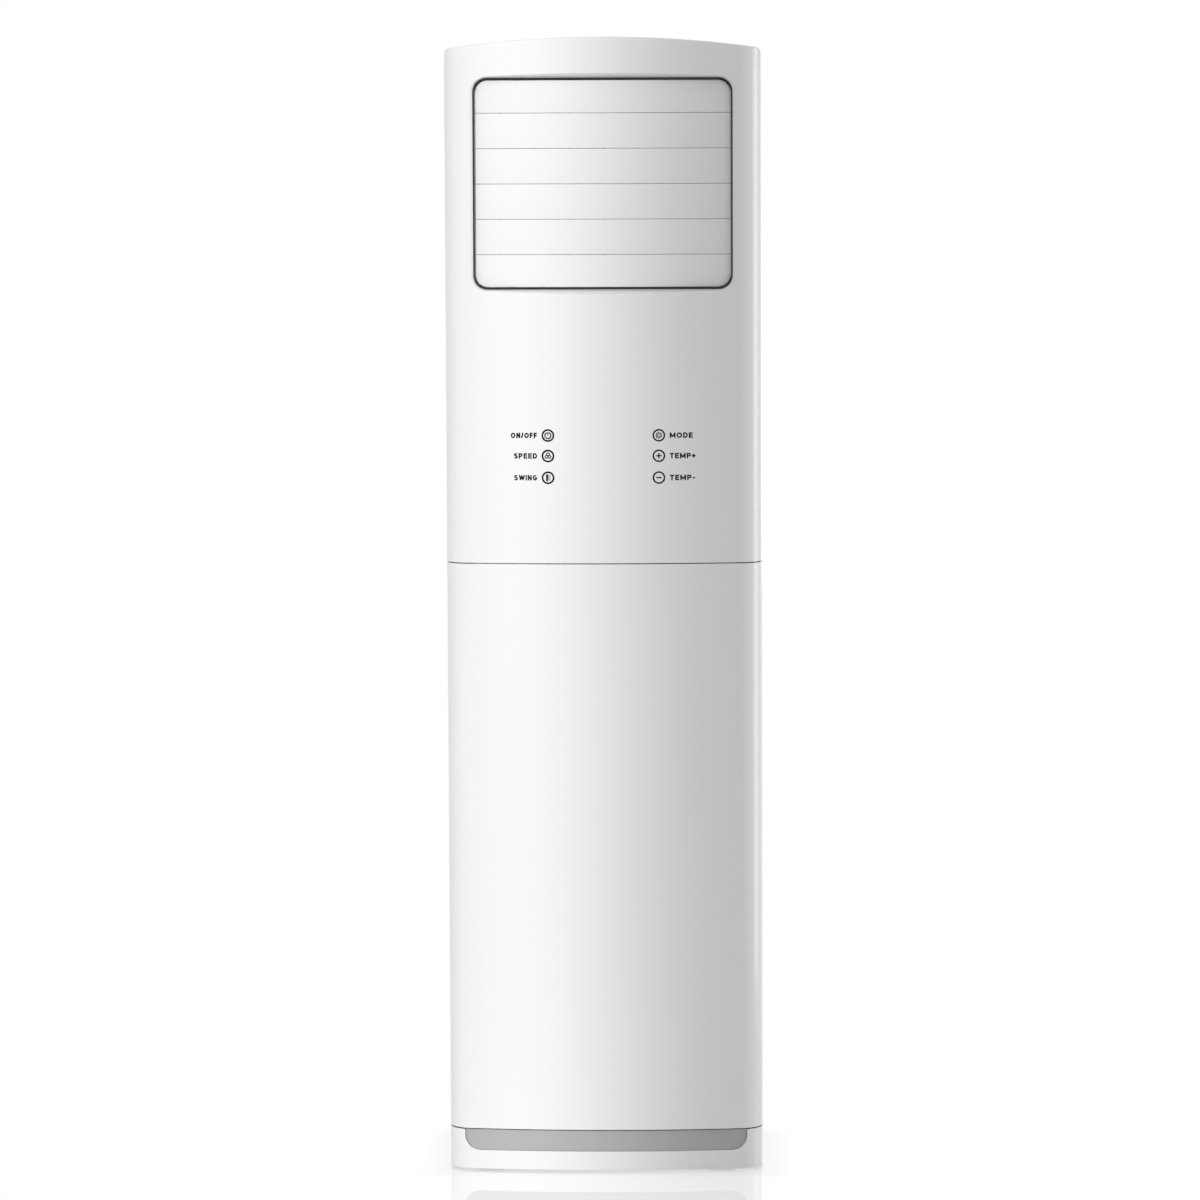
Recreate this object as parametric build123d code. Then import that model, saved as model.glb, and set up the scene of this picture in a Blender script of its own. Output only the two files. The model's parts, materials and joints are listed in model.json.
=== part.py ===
from build123d import *

import math
import os

# Floor standing air conditioner: a tall cabinet with an outlet window at the top, a blower
# behind a door at the bottom and a leaning coil between them.
# Millimetres, +Z up, front towards -Y, right towards +X, origin on the floor under the middle.

# ---- Cabinet ----
width = 500.0
depth = 320.0
height = 1800.0
front_radius = 1500.0  # bulge of the front, seen from above
corner_radius = 40.0  # front corners, seen from above
rear_corner_radius = 6.0
least_corner = 0.5  # rear corners of deep insets
arch_radius = 1767.0  # bulge of the top edge, seen from the front
shoulder_radius = 12.0  # ends of the top edge
plastic_wall = 3.0
steel_wall = 1.2
seat_gap = 0.3  # between pieces that seat without touching
running_gap = 0.05  # radial, pins and shafts in their bores

foot_height = 3.0  # floor to the plinth's lower edge
plinth_top = 66.0
door_gap = 2.0  # plinth to door
panel_seam = 973.5  # middle of the seam between door and upper panel
panel_seam_gap = 1.6
front_reach = 104.0  # how far back the front panels reach
split_gap = 3.0  # front panels to side panels
skirt_drop = 57.0  # how far the top cover reaches down
fold_width = 25.0  # front fold of each side panel
lip_width = 14.0  # rear lip of each side panel

# ---- Outlet window and its gasket ----
window_side = 46.4  # cabinet's side to the gasket's outline
window_height = 330.4
window_corner = 22.0
window_drop = 229.3  # cabinet's top to the middle of the window
recess_setback = 4.1181  # front at the window's sides to the gasket's face
reveal_draft = 22.0  # degrees, flare of the recess
reveal_round = 4.0
reveal_past = 4.0  # how far the flare's cutter passes the front
reveal_band = 20.0  # height above and below the window where its edges are sought
window_rim = 3.0
gasket_width = 2.2
gasket_depth = 6.0

# ---- Outlet duct ----
duct_wall = 2.5
duct_side = 0.4  # gasket's outline to the duct's outer face
duct_lift = 4.5  # gasket's outline to the duct's top
deck_height = 930.0  # underside of the deck under the duct
deck_wall = 1.5
deck_flange = 25.0
duct_mouth_margin = 1.5  # duct opening to the gasket's outline, top and bottom

# ---- Horizontal slats ----
slat_count = 6
slat_pitch = 55.4
slat_gap = 0.8
slat_thickness = 3.5
slat_bulge_radius = 3500.0
slat_end_gap = 0.6
slat_axis_setback = 6.2  # duct's front edge to the slat pins
slat_lead = 5.0  # slat's face in front of its pins, at the ends
slat_trim_low = 3.6  # taken off the lower edge of the first slat
slat_trim_high = 4.8  # taken off the upper edge of the last slat
slat_clearance = 1.0  # gasket's inner corner to the first and last slat's corners
slat_pin_radius = 2.5
slat_boss_radius = 4.5
slat_boss_length = 5.0
slat_boss_inset = 0.2
crank_gap = 0.5
crank_thickness = 2.5
crank_throw = 14.0
crank_pin_radius = 2.0
crank_pin_length = 4.5
link_bar_thickness = 3.0
link_bar_width = 9.0
slat_motor_radius = 10.0
slat_motor_length = 13.0
slat_motor_neck = 4.0  # length between the duct's wall and the motor's body
slat_motor_neck_radius = 5.0
slat_motor_foot = 8.0
slat_pin_past_wall = 2.0

# ---- Upright guide vanes ----
vane_count = 7
vane_side = 38.7  # duct's inner face to the pins of the outer vanes
vane_chord = 40.0
vane_thickness = 2.0
vane_setback = 55.5  # slat pins to vane pins
vane_pin_radius = 2.0
vane_pin_length = 5.0
vane_pin_root = 8.0  # how far a pin runs into its vane
vane_edge_share = 0.8  # of half the thickness, rounded off the edges
vane_frame_depth = 16.0
vane_frame_rail = 6.0
vane_frame_post = 2.0
vane_frame_margin = 4.0  # frame to the gasket's outline, top and bottom
vane_crank = 16.0  # pin axis to the rod's pin
vane_notch_lead = 8.0
vane_notch_tail = 5.0
vane_notch_height = 16.0
vane_notch_lift = 12.0
vane_rod_pin_radius = 1.5
vane_rod_pin_root = 4.0
vane_rod_width = 8.0
vane_rod_height = 6.0
vane_motor_radius = 12.0
vane_motor_height = 18.0
vane_motor_ear = 6.0
vane_motor_ear_width = 8.0
vane_motor_plate = 2.0

# ---- Blower ----
blower_height = 600.0  # shaft above the floor
wheel_radius = 148.0
wheel_eye_radius = 118.0
wheel_width = 90.0
wheel_disc = 2.0
wheel_ring_depth = 8.0
wheel_ring_height = 3.0
blade_count = 36
blade_spread = 14.0  # degrees between a blade's root and tip
blade_bow = 5.0
blade_angle_thickness = 0.6  # degrees
blade_tip_inset = 0.5
hub_radius = 20.0
hub_length = 26.0
shaft_radius = 6.0
shaft_end = 4.0  # past the nut
nut_length = 8.0
nut_radius = 10.2
housing_front_y = -30.0
housing_depth = 115.0
housing_wall = 2.0
scroll_start_radius = 160.0
scroll_side = 50.0  # cabinet's side to the scroll's widest turn
scroll_start_angle = 105.0
scroll_steps = 8
wheel_side_gap = 12.0  # housing's rear plate to the wheel's disc
inlet_radius = 112.0
inlet_flange_radius = 134.0
inlet_lip = 12.0
inlet_overlap = 8.0  # flange on the housing round its hole
inlet_root = 4.0  # foot of the lip on the flange
inlet_rise = 2.0
inlet_flare = 3.0
motor_radius = 60.0
motor_length = 60.0
motor_chamfer = 4.0
motor_boss_radius = 24.0
motor_boss_length = 5.0
bracket_ring_width = 14.0
bracket_arm_width = 22.0
bracket_reach = 112.0
bracket_wall = 3.0
motor_hole_radius = 80.0

# ---- Filter ----
filter_side = 60.0  # cabinet's side to the filter
filter_height = 400.0
filter_thickness = 8.0
filter_border = 12.0
filter_rib = 5.0
filter_ribs_across = 3
filter_ribs_up = 3
mesh_thickness = 0.8
rail_wall = 1.8
rail_grip = 10.0
rail_spacer = 6.0  # blower housing's front to the filter's rear, past the rail's wall
filter_lift = 25.0
filter_rib_inset = 1.0
mesh_gap = 0.1

# ---- Evaporator ----
coil_side = 26.7  # duct's inner face to the fin block
coil_thickness = 44.0
coil_height = 430.0
coil_lean = 27.0  # degrees from upright, top towards the rear
coil_centre_y = 12.0
coil_lift = 235.0  # deck's underside to the coil's middle
coil_rows = 2
tubes_per_row = 12
tube_pitch = 25.4
tube_radius = 4.7
tube_clearance = 0.3
tube_overhang = 3.0
end_plate_gap = 0.3
end_plate_wall = 1.2
end_tab_lift = 30.0  # end tabs of the coil's plates to its ends

# ---- Drain ----
pan_wall = 4.0
pan_height = 43.5
pan_rear_y = -50.0
pan_floor = 5.0
spigot_side = 65.0  # cabinet's side to the spigot
spigot_y = -62.0
spigot_radius = 8.0
spigot_bore = 5.5
spigot_drop = 30.0
hose_radius = 10.5
hose_bend = 34.0
hose_riser_y = -40.0
hose_turns = (50.0, 105.0)  # below the spigot: where the hose leans out and where it drops

# ---- Pipes ----
riser_side = 34.0  # cabinet's side to the three lines that run down beside the blower
gas_radius = 7.94
liquid_radius = 4.76
union_length = 14.0
gas_union_radius = 12.0
liquid_union_radius = 9.0
port_end_y = 150.0
port_stub = 20.0
gas_port_height = 130.0
liquid_port_height = 165.0
drain_port_height = 95.0
exit_width = 44.0
exit_bottom = 70.0
exit_top = 190.0
exit_corner = 6.0
exit_shift = 4.0  # lines to the middle of the exit
pipe_drop_side = 60.0  # cabinet's side to the lines' drops through the deck
liquid_drop_y = 98.0  # behind the blower; the gas line drops in front of it
liquid_lean_lift = 70.0  # deck's underside to the foot of the liquid line's lean
gas_riser_y = 12.0
liquid_riser_y = 80.0
gas_turns = (25.0, 75.0, 125.0)  # below the deck: lean out, reach the riser, drop
liquid_turns = (25.0, 80.0)
gas_bend = 30.0
liquid_bend = 15.0

# ---- Electrical box ----
box_left_side = 50.0  # cabinet's left side to the box
box_right_side = 180.0  # box to the cabinet's right side
box_bottom = 110.0
box_top = 330.0
box_front_y = 70.0
board_margin = 14.0
board_thickness = 1.6
board_standoff = 12.0
# Parts on the main board: left and lower edge on the board, width, height and depth.
board_parts = (
    (20.0, 46.0, 40.0, 40.0, 26.0),
    (80.0, 56.0, 28.0, 20.0, 16.0),
    (80.0, 106.0, 20.0, 26.0, 18.0),
    (20.0, 116.0, 26.0, 30.0, 14.0),
)
capacitor_bay = 70.0  # width beside the board
capacitor_gap = 10.0  # board's margin to the can
capacitor_setback = 45.0  # box's front to the can's middle
capacitor_chamfer = 2.0
capacitor_radius = 20.0
capacitor_length = 60.0
terminal_ways = 6
terminal_pitch = 11.0
terminal_depth = 16.0
terminal_height = 20.0
terminal_drop = 60.0  # box's top to the block's foot
terminal_slot_width = 7.7
terminal_slot_margin = 4.0
gland_side = 90.0  # cabinet's left side to the gland
gland_height = 90.0
gland_radius = 14.0
gland_bore = 6.0
gland_length = 22.0
gland_flange_radius = 17.0
gland_flange = 3.0

# ---- Base ----
pan_flange = 30.0
base_wall = 1.5
base_step = 20.0  # hinge to the tray's narrower front
plinth_lip = 9.0
foot_side = 65.0  # cabinet's side to a foot
foot_setback = 55.0  # cabinet's front or rear to a foot
foot_chamfer = 1.5
foot_radius = 20.0
foot_stem_radius = 4.0
foot_stem = 12.0
kick_side = 25.0  # cabinet's side to the recess
kick_bottom = 33.0
kick_corner = 24.0
kick_depth = 9.0
kick_recess = 4.0
kick_gap = 0.3

# ---- Door ----
knuckle_radius = 5.0
hinge_pin_radius = 2.5
hinge_pin_hold = 14.0  # pin length held in the plinth or in the upper panel
hinge_pin_reach = 14.0  # pin length inside the door
hinge_pin_end_gap = 2.0
hinge_post_wall = 1.0  # plinth's pin post, wider than the knuckle
hinge_post_floor = 4.0
hinge_upper_length = 20.0  # knuckle on the upper panel
catch_margin = 152.0  # door's ends to the catches
catch_width = 16.0
catch_height = 24.0
catch_depth = 6.0

# ---- Small pieces ----
touch_board_width = 220.0
touch_board_height = 96.0
touch_board_lift = 169.0  # panel seam to the board's middle
touch_board_y = -149.0
post_radius = 4.0
post_inset = 8.0
clip_lift = 56.0  # upper panel's lower edge to the lowest clips
clip_drop = 100.0  # cabinet's top to the highest clips
clip_width = 12.0
clip_height = 20.0
clip_length = 27.0
tongue_reach = 20.0
tongue_wall = 2.2
tongue_root = 4.0
screw_head_radius = 4.5
screw_shank_radius = 1.8
screw_hole_radius = 2.1
screw_shank = 6.0
screw_side = 24.0  # cabinet's side to a screw
screw_rows = 4
screw_lowest = 240.0
screw_drop = 420.0  # cabinet's top to the highest screws
wall_hole_radius = 3.5
wall_hole_spacing = 240.0
wall_hole_drop = 100.0  # cabinet's top to the bracket's holes
back_corner_gap = 0.5
slot_count = 22
slot_pitch = 32.0
slot_height = 8.0
slot_length = 130.0
slot_lowest = 160.0
slot_centre_y = 45.0

# ---- Worked out from the above ----
half_width = width / 2
front_y = -depth / 2
rear_y = depth / 2
beyond = 50.0  # long cutters reach this far past what they cut
past = 1.0  # and short ones this far
same_surface = 0.05  # a point this near to a surface lies on it
hinge_x = knuckle_radius - half_width
door_bottom = plinth_top + door_gap
door_top = panel_seam - panel_seam_gap / 2
panel_bottom = panel_seam + panel_seam_gap / 2
panel_rear_y = front_y + front_reach
side_front_y = panel_rear_y + split_gap
hinge_y = panel_rear_y - knuckle_radius
catch_heights = (door_bottom + catch_margin, door_top - catch_margin)
touch_board_centre = panel_seam + touch_board_lift
clip_lowest = panel_bottom + clip_lift
clip_highest = height - clip_drop
clip_heights = (clip_lowest, (clip_lowest + clip_highest) / 2, clip_highest)
screw_x = half_width - screw_side
screw_pitch = (height - screw_drop - screw_lowest) / (screw_rows - 1)
screw_heights = [screw_lowest + number * screw_pitch for number in range(screw_rows)]
wall_hole_height = height - wall_hole_drop
foot_x = half_width - foot_side
foot_y = depth / 2 - foot_setback
kick_width = width - 2 * kick_side
skirt_bottom = height - skirt_drop
lip_y = rear_y - steel_wall  # inner face of the rear lips, outer face of the back panel
back_inner_y = lip_y - steel_wall
window_width = width - 2 * window_side
window_centre = height - window_drop
window_bottom = window_centre - window_height / 2
window_top = window_centre + window_height / 2
window_sag = front_radius - math.sqrt(front_radius**2 - (window_width / 2) ** 2)
recess_depth = window_sag + recess_setback
gasket_front_y = front_y + recess_depth
gasket_back_y = gasket_front_y + gasket_depth
duct_front_y = gasket_back_y + seat_gap
duct_rear_y = back_inner_y - seat_gap
duct_half_width = window_width / 2 - duct_side
duct_inner = duct_half_width - duct_wall
duct_top = window_top + duct_lift
deck_top = deck_height + deck_wall
slat_axis_y = duct_front_y + slat_axis_setback
slat_half_length = duct_inner - slat_end_gap
slat_first = window_centre - slat_pitch * (slat_count - 1) / 2
crank_x = duct_half_width + crank_gap
link_x = crank_x + crank_thickness + crank_gap
crank_pin_y = slat_axis_y + crank_throw
vane_frame_bottom = window_bottom + vane_frame_margin
vane_frame_top = window_top - vane_frame_margin
vane_bottom = vane_frame_bottom + vane_frame_rail + seat_gap
vane_top = vane_frame_top - vane_frame_rail - seat_gap
vane_first = vane_side - duct_inner
vane_pitch = -2 * vane_first / (vane_count - 1)
vane_axis_y = slat_axis_y + vane_setback
vane_rod_y = vane_axis_y + vane_crank
vane_notch_bottom = vane_bottom + vane_notch_lift
scroll_end_radius = half_width - scroll_side
housing_rear_y = housing_front_y + housing_depth
wheel_rear_y = housing_rear_y - wheel_side_gap
wheel_front_y = wheel_rear_y - wheel_width
bracket_rear_y = housing_rear_y + bracket_wall
filter_width = width - 2 * filter_side
rail_outer = filter_width / 2 + seat_gap + rail_wall
filter_rear_y = housing_front_y - rail_wall - seat_gap - rail_spacer
filter_front_y = filter_rear_y - filter_thickness
filter_bottom = blower_height - filter_height / 2
filter_top = blower_height + filter_height / 2
pan_front_y = duct_front_y + duct_wall + seat_gap
pan_top = deck_top + pan_height
coil_width = 2 * (duct_inner - coil_side)
coil_centre_z = deck_height + coil_lift
liquid_lean_top = deck_height + liquid_lean_lift
spigot_x = half_width - spigot_side
riser_x = half_width - riser_side
pipe_drop_x = half_width - pipe_drop_side
box_left = box_left_side - half_width
box_right = half_width - box_right_side
gland_x = gland_side - half_width
outlet_left = scroll_start_radius * math.cos(math.radians(scroll_start_angle))
port_start_y = port_end_y - port_stub


def box(x, y, z):
    """A box from its three (low, high) spans."""
    spans = (x, y, z)
    size = [high - low for low, high in spans]
    middle = [(low + high) / 2 for low, high in spans]
    return Pos(*middle) * Box(*size)


def rod_x(radius, x, y, z):
    """A cylinder along X over the span x."""
    return Pos((x[0] + x[1]) / 2, y, z) * Rot(0, 90, 0) * Cylinder(radius, x[1] - x[0])


def rod_y(radius, x, y, z):
    """A cylinder along Y over the span y."""
    return Pos(x, (y[0] + y[1]) / 2, z) * Rot(90, 0, 0) * Cylinder(radius, y[1] - y[0])


def rod_z(radius, x, y, z):
    """A cylinder along Z over the span z."""
    return Pos(x, y, (z[0] + z[1]) / 2) * Cylinder(radius, z[1] - z[0])


def front_plane(y):
    """A sketch plane at y whose right is +X, whose up is +Z and which faces the front."""
    return Plane(origin=(0, y, 0), x_dir=(1, 0, 0), z_dir=(0, -1, 0))


def bulged_face(half, crown, bulge, corner, tail, tail_corner):
    """A closed outline: a bulged top with its crown at height crown, rounded shoulders,
    straight sides at +-half and a flat tail with rounded corners."""
    centre = crown - bulge
    corner_x = half - corner
    corner_y = centre + math.sqrt((bulge - corner) ** 2 - corner_x**2)
    lean = math.atan2(corner_y - centre, corner_x)
    joint_x = bulge * math.cos(lean)
    joint_y = centre + bulge * math.sin(lean)
    bend_x = corner_x + corner * math.cos(lean / 2)
    bend_y = corner_y + corner * math.sin(lean / 2)
    tail_x = half - tail_corner
    tail_y = tail + tail_corner
    diagonal = tail_corner * math.sqrt(0.5)
    edges = [
        ThreePointArc((-joint_x, joint_y), (0, crown), (joint_x, joint_y)),
        ThreePointArc((joint_x, joint_y), (bend_x, bend_y), (half, corner_y)),
        Line((half, corner_y), (half, tail_y)),
        ThreePointArc((half, tail_y), (tail_x + diagonal, tail_y - diagonal), (tail_x, tail)),
        Line((tail_x, tail), (-tail_x, tail)),
        ThreePointArc((-tail_x, tail), (-tail_x - diagonal, tail_y - diagonal), (-half, tail_y)),
        Line((-half, tail_y), (-half, corner_y)),
        ThreePointArc((-half, corner_y), (-bend_x, bend_y), (-joint_x, joint_y)),
    ]
    return make_face(edges)


def column(inset, z):
    """The cabinet's plan, drawn in by inset, over the height span z."""
    plan = bulged_face(
        half_width - inset,
        depth / 2 - inset,
        front_radius - inset,
        corner_radius - inset,
        -depth / 2 + inset,
        max(rear_corner_radius - inset, least_corner),
    )
    plane = Plane(origin=(0, 0, z[0]), x_dir=(1, 0, 0), z_dir=(0, 0, -1))
    return extrude(plane * plan, -(z[1] - z[0]))


def envelope(inset, bottom):
    """The cabinet's outer form, drawn in by inset, from the height bottom up to its arch."""
    arch = bulged_face(
        half_width - inset,
        height - inset,
        arch_radius - inset,
        shoulder_radius - inset,
        bottom,
        steel_wall,
    )
    arch_solid = extrude(front_plane(rear_y + beyond) * arch, depth + 2 * beyond)
    return column(inset, (bottom, height + beyond)) & arch_solid


def tube_along(points, radius, bend, bore=0.0):
    """A round tube along straight runs that are joined by tangent arcs."""
    path = FilletPolyline(*points, radius=bend)
    section = Circle(radius)
    if bore:
        section -= Circle(bore)
    return sweep(Plane(origin=path @ 0, z_dir=path % 0) * section, path=path)


# ---- Base ----


def kick_face(grow):
    """Outline of the long recess in the plinth's front: open at the top, round below."""
    half = kick_width / 2 + grow
    low = kick_bottom - grow
    corner = kick_corner + grow
    slant = corner * math.sqrt(0.5)
    edges = [
        Line((-half, plinth_top + beyond), (-half, low + corner)),
        ThreePointArc(
            (-half, low + corner),
            (-half + corner - slant, low + corner - slant),
            (-half + corner, low),
        ),
        Line((-half + corner, low), (half - corner, low)),
        ThreePointArc(
            (half - corner, low),
            (half - corner + slant, low + corner - slant),
            (half, low + corner),
        ),
        Line((half, low + corner), (half, plinth_top + beyond)),
        Line((half, plinth_top + beyond), (-half, plinth_top + beyond)),
    ]
    return make_face(edges)


def kick_solid(grow, front, rear, top):
    """The recess outline as a solid between two insets of the cabinet's plan."""
    cutter = extrude(front_plane(0) * kick_face(grow), depth)
    ring = column(front, (foot_height, top)) - column(rear, (foot_height, top))
    return cutter & ring


def plinth():
    """Hollow skirt that carries the cabinet, with a lip for the base pan."""
    span = (foot_height, plinth_top)
    skirt = column(0, span) - column(plastic_wall, span)
    lip_span = (foot_height, foot_height + plastic_wall)
    lip = column(plastic_wall, lip_span) - column(plastic_wall + plinth_lip, lip_span)
    pocket_back = kick_solid(plastic_wall, plastic_wall, kick_depth + plastic_wall, plinth_top)
    body = skirt + lip + pocket_back
    post_low = plinth_top - hinge_pin_hold - hinge_post_floor
    post = rod_z(knuckle_radius + hinge_post_wall, hinge_x, hinge_y, (post_low, plinth_top))
    body += post & column(0, span)
    body -= kick_solid(0, -past, kick_depth, plinth_top + past)
    body -= rod_z(
        hinge_pin_radius, hinge_x, hinge_y, (plinth_top - hinge_pin_hold, plinth_top + past)
    )
    return body


def plinth_insert():
    """Grey blade that lines the recess, set a little behind the plinth's face."""
    return kick_solid(-kick_gap, kick_recess, kick_depth, plinth_top)


def base_pan():
    """Steel tray on the plinth's lip."""
    low = foot_height + plastic_wall
    inset = plastic_wall + seat_gap
    rear_zone = box((-width, width), (hinge_y - base_step, depth), (0, height))
    tray = column(inset, (low, low + pan_flange))
    tray -= column(inset + base_wall, (low + base_wall, low + pan_flange + past))
    front_inset = kick_depth + plastic_wall + seat_gap
    front = column(front_inset, (low, low + pan_flange))
    front -= column(front_inset + base_wall, (low + base_wall, low + pan_flange + past))
    tray = (tray & rear_zone) + (front - rear_zone)
    for x in (-foot_x, foot_x):
        for y in (-foot_y, foot_y):
            tray -= rod_z(foot_stem_radius + seat_gap, x, y, (0, low + pan_flange))
    return tray


def feet():
    """Levelling feet: a pad under the tray and a stem through it."""
    pad_top = foot_height + plastic_wall
    pieces = []
    for x in (-foot_x, foot_x):
        for y in (-foot_y, foot_y):
            pad = rod_z(foot_radius, x, y, (0, pad_top))
            pad = chamfer(pad.edges().group_by(Axis.Z)[0], foot_chamfer)
            pieces.append(pad + rod_z(foot_stem_radius, x, y, (pad_top, pad_top + foot_stem)))
    return pieces


# ---- Cabinet sheets ----


def side_panel(side):
    """Steel side with a fold towards the front, a lip at the rear and the intake slots."""
    z = (plinth_top, skirt_bottom)
    sheet = column(0, z) - column(steel_wall, z)
    outer = (half_width - lip_width, half_width + past)
    keep = box(outer, (side_front_y, rear_y + past), (0, height))
    sheet = sheet & keep
    sheet += box(
        (half_width - fold_width, half_width), (side_front_y, side_front_y + steel_wall), z
    )
    through = (half_width - steel_wall - past, half_width + past)
    ends = (slot_centre_y - slot_length / 2, slot_centre_y + slot_length / 2)
    cell = box(through, ends, (-slot_height / 2, slot_height / 2))
    for end in ends:
        cell += rod_x(slot_height / 2, through, end, 0)
    for number in range(slot_count):
        sheet -= Pos(0, 0, slot_lowest + number * slot_pitch) * cell
    return sheet if side > 0 else mirror(sheet, about=Plane.YZ)


def screw_places():
    """Places of the back panel's screws, as (x, z)."""
    return [(x, z) for z in screw_heights for x in (-screw_x, screw_x)]


def back_panel():
    """Steel back with the pipe exit, the cable gland's hole and the wall bracket's holes."""
    half = half_width - rear_corner_radius - back_corner_gap
    sheet = box((-half, half), (back_inner_y, lip_y), (plinth_top, skirt_bottom))
    for x in (-half + steel_wall / 2, half - steel_wall / 2):
        sheet += box(
            (x - steel_wall / 2, x + steel_wall / 2),
            (back_inner_y - fold_width / 2, lip_y),
            (plinth_top, skirt_bottom),
        )
    exit_face = RectangleRounded(exit_width, exit_top - exit_bottom, exit_corner)
    exit_place = Pos(riser_x - exit_shift, (exit_top + exit_bottom) / 2)
    sheet -= extrude(front_plane(rear_y) * exit_place * exit_face, beyond)
    through = (back_inner_y - past, lip_y + past)
    sheet -= rod_y(gland_radius + running_gap, gland_x, through, gland_height)
    for x in (-wall_hole_spacing / 2, wall_hole_spacing / 2):
        sheet -= rod_y(wall_hole_radius, x, through, wall_hole_height)
    for x, z in screw_places():
        sheet -= rod_y(screw_hole_radius, x, through, z)
    return sheet


def back_screws():
    """Pan head screws of the back panel."""
    pieces = []
    for x, z in screw_places():
        head = rod_y(screw_head_radius, x, (lip_y, rear_y), z)
        pieces.append(head + rod_y(screw_shank_radius, x, (lip_y - screw_shank, lip_y), z))
    return pieces


def top_cover():
    """Arched roof behind the front panel, with a tongue that goes under it."""
    shell = envelope(0, skirt_bottom) - envelope(plastic_wall, skirt_bottom - past)
    cover = shell & box((-width, width), (side_front_y, depth), (skirt_bottom, height + past))
    tongue_outer = plastic_wall + seat_gap
    tongue = envelope(tongue_outer, skirt_bottom)
    tongue -= envelope(tongue_outer + tongue_wall, skirt_bottom - past)
    tongue_span = (side_front_y - tongue_reach, side_front_y + tongue_root)
    tongue = tongue & box((-width, width), tongue_span, (0, height))
    riser = envelope(0, skirt_bottom) - envelope(tongue_outer + tongue_wall, skirt_bottom - past)
    riser = riser & box((-width, width), (side_front_y, side_front_y + tongue_root), (0, height))
    return cover + tongue + riser


# ---- Front panels ----


def window_face(grow):
    """The window's rounded outline, grown by grow on every side."""
    outline = RectangleRounded(
        window_width + 2 * grow, window_height + 2 * grow, window_corner + grow
    )
    return Pos(0, window_centre) * outline


def window_solid(grow, rear):
    """Straight from rear up to the gasket's face, then flared out past the front."""
    reach = recess_depth + reveal_past
    flare = reach * math.tan(math.radians(reveal_draft))
    straight = extrude(front_plane(rear) * window_face(grow), rear - gasket_front_y)
    near = front_plane(gasket_front_y) * window_face(grow)
    far = front_plane(gasket_front_y - reach) * window_face(grow + flare)
    return straight + loft([near, far], ruled=True)


def on_front(edge, margin):
    """Whether an edge lies on the bulged front, away from the cabinet's corners."""
    centre_y = front_y + front_radius
    for share in (0.0, 0.25, 0.5, 0.75, 1.0):
        point = edge @ share
        reach = math.hypot(point.X, point.Y - centre_y)
        if abs(reach - front_radius) > same_surface or abs(point.X) > half_width - margin:
            return False
    return True


def upper_front_panel():
    """Moulded shell with the flared window recess, its clips and the touch board's posts."""
    shell = envelope(0, panel_bottom) - envelope(plastic_wall, panel_bottom - past)
    panel = shell & box((-width, width), (front_y - past, panel_rear_y), (panel_bottom, height + past))
    rim = window_solid(seat_gap + window_rim, gasket_back_y) & envelope(0, panel_bottom)
    panel = panel + rim - window_solid(seat_gap, gasket_back_y + past)
    recess_edges = panel.edges().filter_by(
        lambda edge: on_front(edge, corner_radius)
        and window_bottom - reveal_band < edge.center().Z < window_top + reveal_band
    )
    panel = fillet(recess_edges, reveal_round)
    wall_x = half_width - plastic_wall
    for side in (-1, 1):
        for z in clip_heights:
            x = sorted((side * wall_x, side * (wall_x - clip_width)))
            panel += box(x, (side_front_y - clip_length, side_front_y), (z, z + clip_height))
    knuckle_z = (panel_bottom, panel_bottom + hinge_upper_length)
    panel += rod_z(knuckle_radius, hinge_x, hinge_y, knuckle_z)
    bore_z = (panel_bottom - past, panel_bottom + hinge_pin_hold)
    panel -= rod_z(hinge_pin_radius, hinge_x, hinge_y, bore_z)
    for x, z in touch_board_posts():
        post = rod_y(post_radius, x, (front_y + past, touch_board_y), z)
        panel += post & envelope(plastic_wall / 2, panel_bottom)
    return panel


def touch_board_posts():
    """Places of the four posts behind the touch keys, as (x, z)."""
    half_x = touch_board_width / 2 - post_inset
    half_z = touch_board_height / 2 - post_inset
    return [
        (x, touch_board_centre + z) for x in (-half_x, half_x) for z in (-half_z, half_z)
    ]


def touch_board():
    """Circuit board behind the printed keys."""
    half_x = touch_board_width / 2
    half_z = touch_board_height / 2
    board = box(
        (-half_x, half_x),
        (touch_board_y, touch_board_y + board_thickness),
        (touch_board_centre - half_z, touch_board_centre + half_z),
    )
    chip_x = (-touch_board_width / 16, touch_board_width / 16)
    chip_y = (touch_board_y + board_thickness, touch_board_y + 2 * board_thickness)
    chip_z = (touch_board_centre - half_z / 3, touch_board_centre + half_z / 3)
    return board + box(chip_x, chip_y, chip_z)


def window_gasket():
    """Black ring that lines the window."""
    ring = window_face(0) - window_face(-gasket_width)
    return extrude(front_plane(gasket_back_y) * ring, gasket_depth)


def lower_front_door():
    """Bulged door with a round knuckle along its hinge edge and two catch lugs."""
    z = (door_bottom, door_top)
    shell = column(0, z) - column(plastic_wall, z)
    door = shell & box((-width, width), (front_y - past, panel_rear_y), (0, height))
    door -= box((-width, 0), (hinge_y, depth), (0, height))
    door += rod_z(knuckle_radius, hinge_x, hinge_y, z)
    bore = hinge_pin_radius + running_gap
    bore_length = hinge_pin_reach + hinge_pin_end_gap
    door -= rod_z(bore, hinge_x, hinge_y, (door_bottom - past, door_bottom + bore_length))
    door -= rod_z(bore, hinge_x, hinge_y, (door_top - bore_length, door_top + past))
    lug_y = side_front_y - catch_depth - seat_gap
    for height_z in catch_heights:
        door += box(
            (half_width - fold_width, half_width - plastic_wall),
            (lug_y - catch_depth, lug_y),
            (height_z, height_z + catch_height),
        )
    return door


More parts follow.
